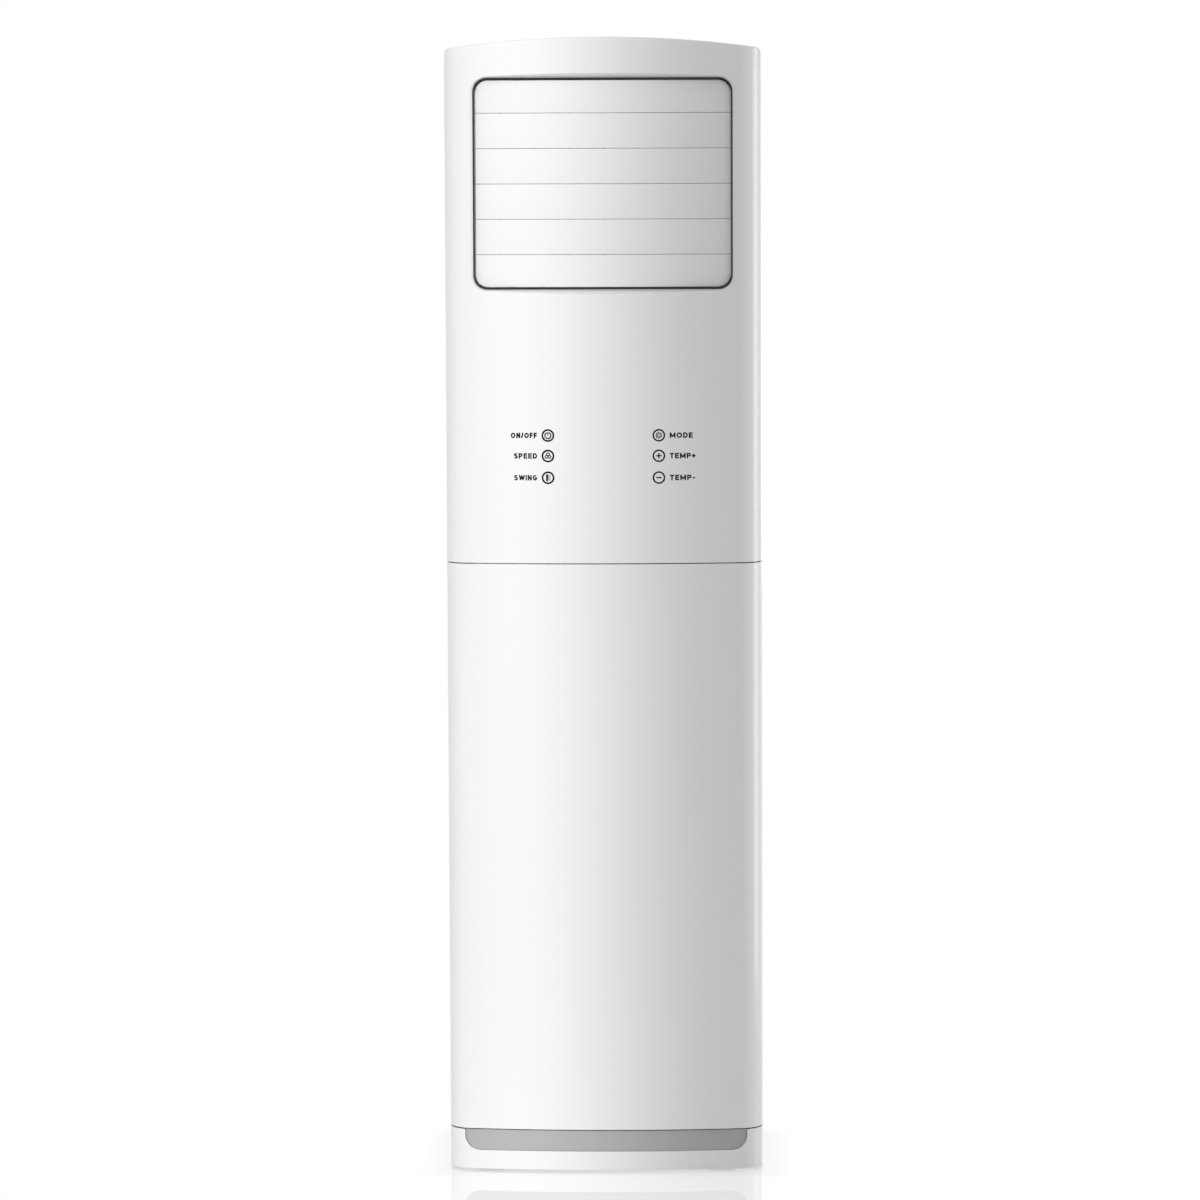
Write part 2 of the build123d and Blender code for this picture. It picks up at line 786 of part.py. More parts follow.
def door_hinge_pins():
    """Lower pin in the plinth and upper pin in the upper panel."""
    lower = rod_z(
        hinge_pin_radius,
        hinge_x,
        hinge_y,
        (plinth_top - hinge_pin_hold, door_bottom + hinge_pin_reach),
    )
    upper = rod_z(
        hinge_pin_radius,
        hinge_x,
        hinge_y,
        (door_top - hinge_pin_reach, panel_bottom + hinge_pin_hold),
    )
    return [lower, upper]


def door_catches():
    """Magnet catches on the right side panel's front fold."""
    x_low = half_width - fold_width
    return [
        box(
            (x_low, x_low + catch_width),
            (side_front_y - catch_depth, side_front_y),
            (z, z + catch_height),
        )
        for z in catch_heights
    ]


# ---- Outlet duct, slats and vanes ----


def slat_heights():
    """Heights of the slat pins, from the lowest to the highest."""
    return [slat_first + number * slat_pitch for number in range(slat_count)]


def vane_places():
    """X places of the guide vanes, from left to right."""
    return [vane_first + number * vane_pitch for number in range(vane_count)]


def outlet_duct():
    """Tall box on the deck, open below, with the window's mouth in its front wall."""
    span = (-duct_half_width, duct_half_width)
    outer = box(span, (duct_front_y, duct_rear_y), (deck_top, duct_top))
    inner = box(
        (-duct_inner, duct_inner),
        (duct_front_y + duct_wall, duct_rear_y - duct_wall),
        (deck_top - past, duct_top - duct_wall),
    )
    mouth = box(
        (-duct_inner, duct_inner),
        (duct_front_y - past, duct_front_y + duct_wall + past),
        (window_bottom + duct_mouth_margin, window_top - duct_mouth_margin),
    )
    duct = outer - inner - mouth
    for z in slat_heights():
        duct -= rod_x(
            slat_pin_radius + running_gap, (-half_width, half_width), slat_axis_y, z
        )
    return duct


def slat(number):
    """One slat: a bowed plank with a boss and pin at each end and a crank on the right."""
    z = slat_heights()[number]
    low = z - (slat_pitch - slat_gap) / 2
    high = z + (slat_pitch - slat_gap) / 2
    if number == 0:
        low += slat_trim_low
    if number == slat_count - 1:
        high -= slat_trim_high
    end_y = slat_axis_y - slat_lead
    sag = slat_bulge_radius - math.sqrt(slat_bulge_radius**2 - slat_half_length**2)
    centre_y = end_y - sag + slat_bulge_radius
    half_angle = math.asin(slat_half_length / slat_bulge_radius)
    inner_radius = slat_bulge_radius - slat_thickness
    inner_x = inner_radius * math.sin(half_angle)
    inner_y = centre_y - inner_radius * math.cos(half_angle)
    outline = make_face(
        [
            ThreePointArc(
                (-slat_half_length, end_y), (0, end_y - sag), (slat_half_length, end_y)
            ),
            Line((slat_half_length, end_y), (inner_x, inner_y)),
            ThreePointArc(
                (inner_x, inner_y), (0, centre_y - inner_radius), (-inner_x, inner_y)
            ),
            Line((-inner_x, inner_y), (-slat_half_length, end_y)),
        ]
    )
    plank = extrude(Pos(0, 0, low) * outline, high - low)
    if number in (0, slat_count - 1):
        outer_z = low if number == 0 else high
        corners = plank.edges().filter_by(
            lambda edge: abs(edge.center().Z - outer_z) < same_surface
            and abs(edge.center().X) > slat_half_length - slat_thickness
        )
        plank = fillet(corners, window_corner - gasket_width - slat_clearance)
    pin_stop = duct_half_width + slat_pin_past_wall
    motor_stop = duct_half_width + slat_motor_neck + slat_motor_length / 3
    left_stop = motor_stop if number == 0 else pin_stop
    for side in (-1, 1):
        boss_ends = (slat_half_length - slat_boss_length, slat_half_length - slat_boss_inset)
        boss_x = sorted(side * x for x in boss_ends)
        plank += rod_x(slat_boss_radius, boss_x, slat_axis_y, z)
    plank += rod_x(
        slat_pin_radius, (-left_stop, -slat_half_length + slat_boss_length), slat_axis_y, z
    )
    crank_end = crank_x + crank_thickness
    plank += rod_x(
        slat_pin_radius, (slat_half_length - slat_boss_length, crank_end), slat_axis_y, z
    )
    crank_span = (crank_x, crank_end)
    plank += rod_x(slat_boss_radius, crank_span, slat_axis_y, z)
    plank += rod_x(slat_boss_radius, crank_span, crank_pin_y, z)
    plank += box(
        crank_span,
        (slat_axis_y, crank_pin_y),
        (z - slat_boss_radius, z + slat_boss_radius),
    )
    plank += rod_x(
        crank_pin_radius, (crank_end, crank_end + crank_pin_length), crank_pin_y, z
    )
    return plank


def slat_link_bar():
    """Upright bar outside the duct that joins the cranks."""
    heights = slat_heights()
    half = link_bar_width / 2
    span = (link_x, link_x + link_bar_thickness)
    bar = box(span, (crank_pin_y - half, crank_pin_y + half), (heights[0], heights[-1]))
    for z in (heights[0], heights[-1]):
        bar += rod_x(half, span, crank_pin_y, z)
    for z in heights:
        bar -= rod_x(
            crank_pin_radius + running_gap,
            (link_x - past, link_x + link_bar_thickness + past),
            crank_pin_y,
            z,
        )
    return bar


def slat_motor():
    """Stepper motor of the lowest slat, on a neck and a foot outside the duct's left wall."""
    z = slat_heights()[0]
    near = -duct_half_width
    body_x = (near - slat_motor_neck - slat_motor_length, near - slat_motor_neck)
    body = rod_x(slat_motor_radius, body_x, slat_axis_y, z)
    body += rod_x(slat_motor_neck_radius, (body_x[1] - past, near), slat_axis_y, z)
    foot_y = (slat_axis_y + slat_motor_foot, slat_axis_y + slat_motor_radius + slat_motor_foot)
    foot_z = (z - slat_motor_foot / 2, z + slat_motor_foot / 2)
    body += box((body_x[1] - slat_motor_foot / 2, near), foot_y, foot_z)
    bore = rod_x(
        slat_pin_radius + running_gap,
        (body_x[1] - slat_motor_length / 2, near + past),
        slat_axis_y,
        z,
    )
    return body - bore


def vane_frame():
    """Rectangular frame across the duct that holds the vanes' pins."""
    half_x = duct_inner - seat_gap
    y = (vane_axis_y - vane_frame_depth / 2, vane_axis_y + vane_frame_depth / 2)
    frame = box((-half_x, half_x), y, (vane_frame_bottom, vane_frame_top))
    frame -= box(
        (-half_x + vane_frame_post, half_x - vane_frame_post),
        (y[0] - past, y[1] + past),
        (vane_frame_bottom + vane_frame_rail, vane_frame_top - vane_frame_rail),
    )
    for x in vane_places():
        frame -= rod_z(
            vane_pin_radius + running_gap,
            x,
            vane_axis_y,
            (vane_frame_bottom - past, vane_frame_top + past),
        )
    return frame


def vane(number):
    """One upright vane with its two pins and, in a notch at its rear edge, the rod's pin."""
    x = vane_places()[number]
    half = vane_thickness / 2
    chord = (vane_axis_y - vane_chord / 2, vane_axis_y + vane_chord / 2)
    blade = box((x - half, x + half), chord, (vane_bottom, vane_top))
    notch = (vane_notch_bottom, vane_notch_bottom + vane_notch_height)
    blade -= box(
        (x - vane_rod_width, x + vane_rod_width),
        (vane_rod_y - vane_notch_lead, vane_rod_y + vane_notch_tail),
        notch,
    )
    long_edges = blade.edges().filter_by(Axis.Z).filter_by(
        lambda edge: min(abs(edge.center().Y - end) for end in chord) < half
    )
    blade = fillet(long_edges, half * vane_edge_share)
    lower_pin = (vane_bottom - vane_pin_length, vane_bottom + vane_pin_root)
    upper_pin = (vane_top - vane_pin_root, vane_top + vane_pin_length)
    for span in (lower_pin, upper_pin):
        blade += rod_z(vane_pin_radius, x, vane_axis_y, span)
    rod_pin = (notch[0] - vane_rod_pin_root, notch[1] + vane_rod_pin_root)
    return blade + rod_z(vane_rod_pin_radius, x, vane_rod_y, rod_pin)


def vane_link_rod():
    """Rod that joins the vanes' rear pins."""
    places = vane_places()
    half = vane_rod_width / 2
    middle = vane_notch_bottom + vane_notch_height / 2
    z = (middle - vane_rod_height / 2, middle + vane_rod_height / 2)
    rod = box((places[0], places[-1]), (vane_rod_y - half, vane_rod_y + half), z)
    for x in (places[0], places[-1]):
        rod += rod_z(half, x, vane_rod_y, z)
    for x in places:
        rod -= rod_z(vane_rod_pin_radius + running_gap, x, vane_rod_y, (z[0] - past, z[1] + past))
    return rod


def vane_motor():
    """Stepper motor under the frame's lower rail, at the first vane."""
    x = vane_places()[0]
    top = vane_frame_bottom
    reach = vane_motor_radius + vane_motor_ear
    ears = box(
        (x - reach, x + reach),
        (vane_axis_y - vane_motor_ear_width / 2, vane_axis_y + vane_motor_ear_width / 2),
        (top - vane_motor_plate, top),
    )
    return rod_z(vane_motor_radius, x, vane_axis_y, (top - vane_motor_height, top)) + ears


# ---- Deck, coil and drain ----


def fan_deck():
    """Steel deck between the chambers: wide behind, as wide as the duct in front."""
    z = (deck_height, deck_top)
    rear_half = half_width - steel_wall - seat_gap
    rear_limit = back_inner_y - fold_width / 2 - seat_gap
    wide_y = (side_front_y + steel_wall + seat_gap, rear_limit)
    deck = box((-rear_half, rear_half), wide_y, z)
    deck += box((-duct_half_width, duct_half_width), (duct_front_y, back_inner_y - seat_gap), z)
    for side in (-1, 1):
        x = sorted((side * rear_half, side * (rear_half - steel_wall)))
        deck += box(x, wide_y, (deck_height - deck_flange, deck_top))
    deck -= box(
        (outlet_left + housing_wall, scroll_end_radius - housing_wall),
        (housing_front_y + housing_wall, housing_rear_y - housing_wall),
        (deck_height - past, deck_top + past),
    )
    through = (deck_height - past, deck_top + past)
    deck -= rod_z(spigot_radius + seat_gap, spigot_x, spigot_y, through)
    deck -= rod_z(gas_radius + seat_gap, pipe_drop_x, coil_end(1, 0)[1], through)
    deck -= rod_z(liquid_radius + seat_gap, pipe_drop_x, liquid_drop_y, through)
    return deck


def coil_place():
    """The coil's leaning frame: X along the tubes, local Z up the coil."""
    return Pos(0, coil_centre_y, coil_centre_z) * Rot(-coil_lean, 0, 0)


def tube_places():
    """Places of the coil's tubes in its leaning frame, as (row, y, z)."""
    places = []
    for row in range(coil_rows):
        y = (row - (coil_rows - 1) / 2) * tube_pitch * math.sqrt(0.75)
        for number in range(tubes_per_row):
            z = (number - (tubes_per_row - 1) / 2) * tube_pitch
            places.append((row, y, z + (row - 0.5) * tube_pitch / 2))
    return places


def evaporator_fins():
    """The finned block with its tube holes."""
    block = Box(coil_width, coil_thickness, coil_height)
    for _, y, z in tube_places():
        block -= rod_x(tube_radius + tube_clearance, (-width, width), y, z)
    return coil_place() * block


def evaporator_end_plates():
    """Steel plates at both ends of the block, with tabs that reach the duct's walls."""
    pieces = []
    near = coil_width / 2 + end_plate_gap
    for side in (-1, 1):
        x = sorted((side * near, side * (near + end_plate_wall)))
        across = (-coil_thickness / 2, coil_thickness / 2)
        plate = box(x, across, (-coil_height / 2, coil_height / 2))
        for _, y, z in tube_places():
            plate -= rod_x(tube_radius + tube_clearance, (-width, width), y, z)
        reach = sorted((side * near, side * (duct_inner - seat_gap)))
        for z in (end_tab_lift - coil_height / 2, coil_height / 2 - end_tab_lift):
            plate += box(reach, across, (z, z + end_plate_wall))
        pieces.append(coil_place() * plate)
    return pieces


def evaporator_tubes():
    """Hairpins with their bend at the left, and return bends at the right."""
    end = coil_width / 2 + end_plate_gap + end_plate_wall + tube_overhang
    pieces = []
    for row in range(coil_rows):
        column_places = [(y, z) for r, y, z in tube_places() if r == row]
        for lower, upper in zip(column_places[0::2], column_places[1::2]):
            y, z = lower
            bend = tube_pitch / 2
            path = Wire(
                [
                    Line((end, y, z), (-end, y, z)),
                    ThreePointArc((-end, y, z), (-end - bend, y, z + bend), (-end, y, upper[1])),
                    Line((-end, y, upper[1]), (end, y, upper[1])),
                ]
            )
            section = Plane(origin=(end, y, z), z_dir=(-1, 0, 0)) * Circle(tube_radius)
            pieces.append(coil_place() * sweep(section, path=path))
        for lower, upper in zip(column_places[1:-1:2], column_places[2::2]):
            y, z = lower
            bend = tube_pitch / 2
            path = ThreePointArc((end, y, z), (end + bend, y, z + bend), (end, y, upper[1]))
            section = Plane(origin=(end, y, z), z_dir=(1, 0, 0)) * Circle(tube_radius)
            pieces.append(coil_place() * sweep(section, path=path))
    return pieces


def drain_pan():
    """Trough under the coil's lower edge, with a spigot through the deck."""
    half = duct_inner - seat_gap
    pan = box((-half, half), (pan_front_y, pan_rear_y), (deck_top, pan_top))
    pan -= box(
        (-half + pan_wall, half - pan_wall),
        (pan_front_y + pan_wall, pan_rear_y - pan_wall),
        (deck_top + pan_floor, pan_top + past),
    )
    pan += rod_z(spigot_radius, spigot_x, spigot_y, (deck_height - spigot_drop, deck_top + past))
    bore_z = (deck_height - spigot_drop - past, deck_top + pan_floor + past)
    pan -= rod_z(spigot_bore, spigot_x, spigot_y, bore_z)
    return pan


def drain_hose():
    """Hose from the spigot, down beside the blower, to the exit in the back."""
    top = deck_height - seat_gap
    sleeve = spigot_radius + running_gap
    start = deck_height - spigot_drop
    collar = rod_z(hose_radius, spigot_x, spigot_y, (start, top))
    collar -= rod_z(sleeve, spigot_x, spigot_y, (start - past, top + past))
    points = [
        (spigot_x, spigot_y, start),
        (spigot_x, spigot_y, start - hose_turns[0]),
        (riser_x, hose_riser_y, start - hose_turns[1]),
        (riser_x, hose_riser_y, drain_port_height),
        (riser_x, port_end_y, drain_port_height),
    ]
    hose = tube_along(points, hose_radius, hose_bend, spigot_bore)
    return collar + hose


def coil_end(row, number):
    """Where a tube's right end lies, as (x, y, z) in the cabinet."""
    lean = math.radians(coil_lean)
    _, y, z = tube_places()[row * tubes_per_row + number]
    x = coil_width / 2 + end_plate_gap + end_plate_wall + tube_overhang
    return (
        x,
        coil_centre_y + y * math.cos(lean) + z * math.sin(lean),
        coil_centre_z - y * math.sin(lean) + z * math.cos(lean),
    )


def gas_pipe():
    """Wide line: from the lowest tube, in front of the blower, round it and down."""
    x, y, z = coil_end(1, 0)
    points = [
        (pipe_drop_x, y, z),
        (pipe_drop_x, y, deck_height - gas_turns[0]),
        (riser_x, y, deck_height - gas_turns[1]),
        (riser_x, gas_riser_y, deck_height - gas_turns[2]),
        (riser_x, gas_riser_y, gas_port_height),
        (riser_x, port_start_y - union_length, gas_port_height),
    ]
    return tube_along(points, gas_radius, gas_bend) + rod_x(tube_radius, (x, pipe_drop_x), y, z)


def liquid_pipe():
    """Narrow line: from the highest tube, behind the blower and down."""
    x, y, z = coil_end(1, tubes_per_row - 1)
    points = [
        (pipe_drop_x, y, z),
        (pipe_drop_x, liquid_drop_y, liquid_lean_top),
        (pipe_drop_x, liquid_drop_y, deck_height - liquid_turns[0]),
        (riser_x, liquid_riser_y, deck_height - liquid_turns[1]),
        (riser_x, liquid_riser_y, liquid_port_height),
        (riser_x, port_start_y - union_length, liquid_port_height),
    ]
    pipe = tube_along(points, liquid_radius, liquid_bend)
    return pipe + rod_x(tube_radius, (x, pipe_drop_x), y, z)


def pipe_unions():
    """Brass unions at the ends of both lines, each with a bare stub for the mating pipe."""
    pieces = []
    for radius, union_radius, z in (
        (gas_radius, gas_union_radius, gas_port_height),
        (liquid_radius, liquid_union_radius, liquid_port_height),
    ):
        hexagon = Pos(riser_x, z) * RegularPolygon(union_radius, 6)
        start = port_start_y - union_length
        body = extrude(front_plane(port_start_y) * hexagon, union_length)
        stub = rod_y(radius, riser_x, (start, port_end_y), z)
        pieces.append(body + stub)
    return pieces


# ---- Blower ----


def scroll_face(inset):
    """The scroll's outline in the XZ plane, drawn in by inset and open at the deck."""
    points = []
    for step in range(scroll_steps + 1):
        share = step / scroll_steps
        angle = math.radians(scroll_start_angle + share * (360 - scroll_start_angle))
        radius = scroll_start_radius + share * (scroll_end_radius - scroll_start_radius) - inset
        points.append((radius * math.cos(angle), blower_height + radius * math.sin(angle)))
    right = scroll_end_radius - inset
    left = outlet_left + inset
    top = deck_height + (past if inset else 0)
    tip = points[0]
    neck = tip[1] + inset + past
    edges = [
        Spline(points, tangents=[(-1, 0), (0, 1)], tangent_scalars=[0.5, 0.5]),
        Line(points[-1], (right, top)),
        Line((right, top), (left, top)),
        Line((left, top), (left, neck)),
        Line((left, neck), tip),
    ]
    return make_face(edges)


def blower_housing():
    """Scroll shell, open at its top, with an inlet in front and the motor's hole behind."""
    outer = extrude(front_plane(housing_rear_y) * scroll_face(0), housing_depth)
    inner = extrude(
        front_plane(housing_rear_y - housing_wall) * scroll_face(housing_wall),
        housing_depth - 2 * housing_wall,
    )
    shell = outer - inner
    front = (housing_front_y - past, housing_front_y + housing_wall + past)
    rear = (housing_rear_y - housing_wall - past, housing_rear_y + past)
    shell -= rod_y(inlet_flange_radius - inlet_overlap, 0, front, blower_height)
    shell -= rod_y(motor_hole_radius, 0, rear, blower_height)
    return shell


def inlet_ring():
    """Bell mouth: a flange on the housing's front and a lip that leads into the wheel's eye."""
    wall = housing_wall
    low = housing_front_y - wall
    profile = Polyline(
        (inlet_flange_radius, low),
        (inlet_flange_radius, housing_front_y),
        (inlet_radius + 2 * wall + inlet_root, housing_front_y),
        (inlet_radius + wall, housing_front_y + wall + inlet_rise),
        (inlet_radius + wall, housing_front_y + inlet_lip),
        (inlet_radius, housing_front_y + inlet_lip),
        (inlet_radius, housing_front_y + wall),
        (inlet_radius + wall + inlet_flare, low),
        close=True,
    )
    ring = revolve(Plane.XY * make_face(profile), Axis.Y)
    return Pos(0, 0, blower_height) * ring


def blade_face():
    """One bowed blade between the wheel's eye and its rim, in the XZ plane."""
    spread = math.radians(blade_spread)
    thickness = math.radians(blade_angle_thickness)

    def at(radius, angle):
        return (radius * math.cos(angle), radius * math.sin(angle))

    def side(turn):
        root = at(wheel_eye_radius, turn)
        tip = at(wheel_radius - blade_tip_inset, turn + spread)
        middle_radius = (wheel_eye_radius + wheel_radius) / 2 + blade_bow / 2
        middle = at(middle_radius, turn + spread / 2 - blade_bow / wheel_radius)
        return root, middle, tip

    near = side(0)
    far = side(thickness)
    edges = [
        ThreePointArc(*near),
        Line(near[2], far[2]),
        ThreePointArc(*reversed(far)),
        Line(far[0], near[0]),
    ]
    return make_face(edges)


def blower_wheel():
    """Forward curved wheel: a disc with its hub, the blades and a front ring."""
    disc = rod_y(wheel_radius, 0, (wheel_rear_y - wheel_disc, wheel_rear_y), 0)
    ring_y = (wheel_front_y, wheel_front_y + wheel_ring_depth)
    ring = rod_y(wheel_radius, 0, ring_y, 0)
    ring -= rod_y(wheel_radius - wheel_ring_height, 0, ring_y, 0)
    blade_start = front_plane(wheel_rear_y - wheel_disc / 2)
    blade = extrude(blade_start * blade_face(), wheel_width - wheel_disc / 2)
    blades = [Rot(0, number * 360 / blade_count, 0) * blade for number in range(blade_count)]
    hub = rod_y(hub_radius, 0, (wheel_rear_y - hub_length, wheel_rear_y), 0)
    wheel = disc + hub + ring + blades
    wheel -= rod_y(shaft_radius + running_gap, 0, (wheel_front_y, wheel_rear_y + past), 0)
    return Pos(0, 0, blower_height) * wheel


def blower_shaft():
    """Motor shaft with a nut in front of the hub."""
    hub_front = wheel_rear_y - hub_length
    ends = (hub_front - nut_length - shaft_end, bracket_rear_y + motor_length / 2)
    hexagon = Pos(0, blower_height) * RegularPolygon(nut_radius, 6)
    nut = extrude(front_plane(hub_front) * hexagon, nut_length)
    return rod_y(shaft_radius, 0, ends, blower_height) + nut


def fan_motor():
    """Motor behind its bracket, with a ribbed rim and a bored nose."""
    front = bracket_rear_y
    body = rod_y(motor_radius, 0, (front, front + motor_length), blower_height)
    body = chamfer(body.edges().filter_by(GeomType.CIRCLE), motor_chamfer)
    body += rod_y(motor_boss_radius, 0, (front - motor_boss_length, front + past), blower_height)
    body -= rod_y(
        shaft_radius + running_gap,
        0,
        (front - motor_boss_length - past, front + motor_length / 2 + past),
        blower_height,
    )
    return body


def motor_bracket():
    """Ring in front of the motor with three arms to the housing's rear plate."""
    y = (housing_rear_y, bracket_rear_y)
    plate = rod_y(motor_radius + bracket_ring_width / 2, 0, y, 0)
    arm = box((-bracket_arm_width / 2, bracket_arm_width / 2), y, (0, bracket_reach))
    for turn in (0, 120, 240):
        plate += Rot(0, turn, 0) * arm
    plate -= rod_y(motor_boss_radius + seat_gap, 0, (y[0] - past, y[1] + past), 0)
    return Pos(0, 0, blower_height) * plate


# ---- Filter ----


def filter_frame():
    """Frame with cross ribs; the mesh lies in a groove between its halves."""
    half = filter_width / 2
    y = (filter_front_y, filter_rear_y)
    frame = box((-half, half), y, (filter_bottom, filter_top))
    frame -= box(
        (-half + filter_border, half - filter_border),
        (y[0] - past, y[1] + past),
        (filter_bottom + filter_border, filter_top - filter_border),
    )
    inset = filter_rib_inset
    rib_y = (filter_front_y + inset, filter_front_y + (filter_thickness - mesh_thickness) / 2)
    for number in range(1, filter_ribs_up + 1):
        x = -half + number * filter_width / (filter_ribs_up + 1)
        rib_z = (filter_bottom + inset, filter_top - inset)
        frame += box((x - filter_rib / 2, x + filter_rib / 2), rib_y, rib_z)
    for number in range(1, filter_ribs_across + 1):
        z = filter_bottom + number * filter_height / (filter_ribs_across + 1)
        rib_x = (-half + inset, half - inset)
        frame += box(rib_x, rib_y, (z - filter_rib / 2, z + filter_rib / 2))
    return frame


def filter_mesh():
    """Net of the filter, behind the ribs."""
    half = filter_width / 2 - filter_border - mesh_gap
    low = filter_bottom + filter_border + mesh_gap
    high = filter_top - filter_border - mesh_gap
    start = filter_front_y + filter_thickness / 2 - mesh_thickness / 2
    return box((-half, half), (start, start + mesh_thickness), (low, high))


def filter_rails():
    """Two channels on the housing's front, each closed below, that hold the filter."""
    pieces = []
    for side in (-1, 1):
        grip_x = filter_width / 2 - rail_grip
        x = sorted((side * grip_x, side * rail_outer))
        z = (filter_bottom - seat_gap - rail_wall, filter_top + filter_lift / 2)
        y = (filter_front_y - seat_gap - rail_wall, housing_front_y)
        rail = box(x, y, z)
        slot_x = sorted((side * (grip_x - past), side * (filter_width / 2 + seat_gap)))
        rail -= box(
            slot_x,
            (filter_front_y - seat_gap, filter_rear_y + seat_gap),
            (filter_bottom - seat_gap, filter_top + filter_lift),
        )
        pieces.append(rail)
    return pieces


# ---- Electrical parts ----


def electrical_box():
    """Open steel box on the back panel."""
    y = (box_front_y, back_inner_y - seat_gap)
    outer = box((box_left, box_right), y, (box_bottom, box_top))
    inner = box(
        (box_left + steel_wall, box_right - steel_wall),
        (y[0] - past, y[1] - steel_wall),
        (box_bottom + steel_wall, box_top - steel_wall),
    )
    shell = outer - inner
    for x, z in board_posts():
        shell += rod_y(
            post_radius, x, (y[1] - steel_wall - board_standoff, y[1] - steel_wall / 2), z
        )
    return shell


def board_posts():
    """Places of the main board's posts, as (x, z)."""
    xs = (box_left + 2 * board_margin, box_right - 2 * board_margin - capacitor_bay)
    zs = (box_bottom + 2 * board_margin, box_top - 2 * board_margin)
    return [(x, z) for x in xs for z in zs]


def electrical_box_cover():
    """Flat lid with a bent rim over the box's front."""
    return box(
        (box_left, box_right), (box_front_y - steel_wall, box_front_y), (box_bottom, box_top)
    )


def board_rear_y():
    """Rear face of the main board, on its posts."""
    return back_inner_y - seat_gap - steel_wall - board_standoff


def main_board():
    """Control board on its posts, with its larger parts."""
    rear = board_rear_y()
    front = rear - board_thickness
    left = box_left + board_margin
    bottom = box_bottom + board_margin
    right = box_right - board_margin - capacitor_bay
    board = box((left, right), (front, rear), (bottom, box_top - board_margin))
    for across, up, part_width, part_height, part_depth in board_parts:
        board += box(
            (left + across, left + across + part_width),
            (front - part_depth, front),
            (bottom + up, bottom + up + part_height),
        )
    return board


def capacitor():
    """Run capacitor on the box's floor beside the board."""
    x = box_right - board_margin - capacitor_gap - capacitor_radius
    z = (box_bottom + steel_wall, box_bottom + steel_wall + capacitor_length)
    can = rod_z(capacitor_radius, x, box_front_y + capacitor_setback, z)
    return chamfer(can.edges().group_by(Axis.Z)[-1], capacitor_chamfer)


def terminal_block():
    """Row of mains terminals high in the box."""
    length = terminal_ways * terminal_pitch
    x_high = box_right - steel_wall - seat_gap
    rear = back_inner_y - seat_gap - steel_wall
    z = box_top - terminal_drop
    block = box(
        (x_high - length, x_high), (rear - terminal_depth, rear), (z, z + terminal_height)
    )
    for number in range(terminal_ways):
        x = x_high - length + (number + 0.5) * terminal_pitch
        block -= box(
            (x - terminal_slot_width / 2, x + terminal_slot_width / 2),
            (rear - terminal_depth - past, rear - terminal_depth / 2),
            (z + terminal_slot_margin, z + terminal_height - terminal_slot_margin),
        )
    return block


def cable_gland():
    """Gland for the mains lead in the back panel."""
    body = rod_y(gland_radius, gland_x, (rear_y - gland_length, rear_y), gland_height)
    flange = rod_y(
        gland_flange_radius, gland_x, (back_inner_y - gland_flange, back_inner_y), gland_height
    )
    return body + flange - rod_y(
        gland_bore, gland_x, (rear_y - gland_length - past, rear_y + past), gland_height
    )


def write(name, shape):
    """Writes one node, which is a solid or a list of separate solids."""
    if isinstance(shape, list):
        shape = Compound(children=[piece for piece in shape])
    export_step(shape, f"parts/{name}.step")


def main():
    """Builds every node of the air conditioner."""
    os.makedirs("parts", exist_ok=True)
    nodes = {
        "plinth": plinth(),
        "plinth_insert": plinth_insert(),
        "base_pan": base_pan(),
        "feet": feet(),
        "side_panel_left": side_panel(-1),
        "side_panel_right": side_panel(1),
        "back_panel": back_panel(),
        "back_screws": back_screws(),
        "top_cover": top_cover(),
        "upper_front_panel": upper_front_panel(),
        "touch_board": touch_board(),
        "window_gasket": window_gasket(),
        "lower_front_door": lower_front_door(),
        "door_hinge_pins": door_hinge_pins(),
        "door_catches": door_catches(),
        "outlet_duct": outlet_duct(),
        "slat_link_bar": slat_link_bar(),
        "slat_motor": slat_motor(),
        "vane_frame": vane_frame(),
        "vane_link_rod": vane_link_rod(),
        "vane_motor": vane_motor(),
        "fan_deck": fan_deck(),
        "evaporator_fins": evaporator_fins(),
        "evaporator_end_plates": evaporator_end_plates(),
        "evaporator_tubes": evaporator_tubes(),
        "drain_pan": drain_pan(),
        "drain_hose": drain_hose(),
        "gas_pipe": gas_pipe(),
        "liquid_pipe": liquid_pipe(),
        "pipe_unions": pipe_unions(),
        "blower_housing": blower_housing(),
        "inlet_ring": inlet_ring(),
        "blower_wheel": blower_wheel(),
        "blower_shaft": blower_shaft(),
        "fan_motor": fan_motor(),
        "motor_bracket": motor_bracket(),
        "filter_frame": filter_frame(),
        "filter_mesh": filter_mesh(),
        "filter_rails": filter_rails(),
        "electrical_box": electrical_box(),
        "electrical_box_cover": electrical_box_cover(),
        "main_board": main_board(),
        "capacitor": capacitor(),
        "terminal_block": terminal_block(),
        "cable_gland": cable_gland(),
    }
    for number in range(slat_count):
        nodes[f"slat_{number + 1}"] = slat(number)
    for number in range(vane_count):
        nodes[f"vane_{number + 1}"] = vane(number)
    for name, shape in nodes.items():
        write(name, shape)


main()
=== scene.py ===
import json
import math

import bmesh
import bpy
import numpy as np
from mathutils import Matrix, Vector


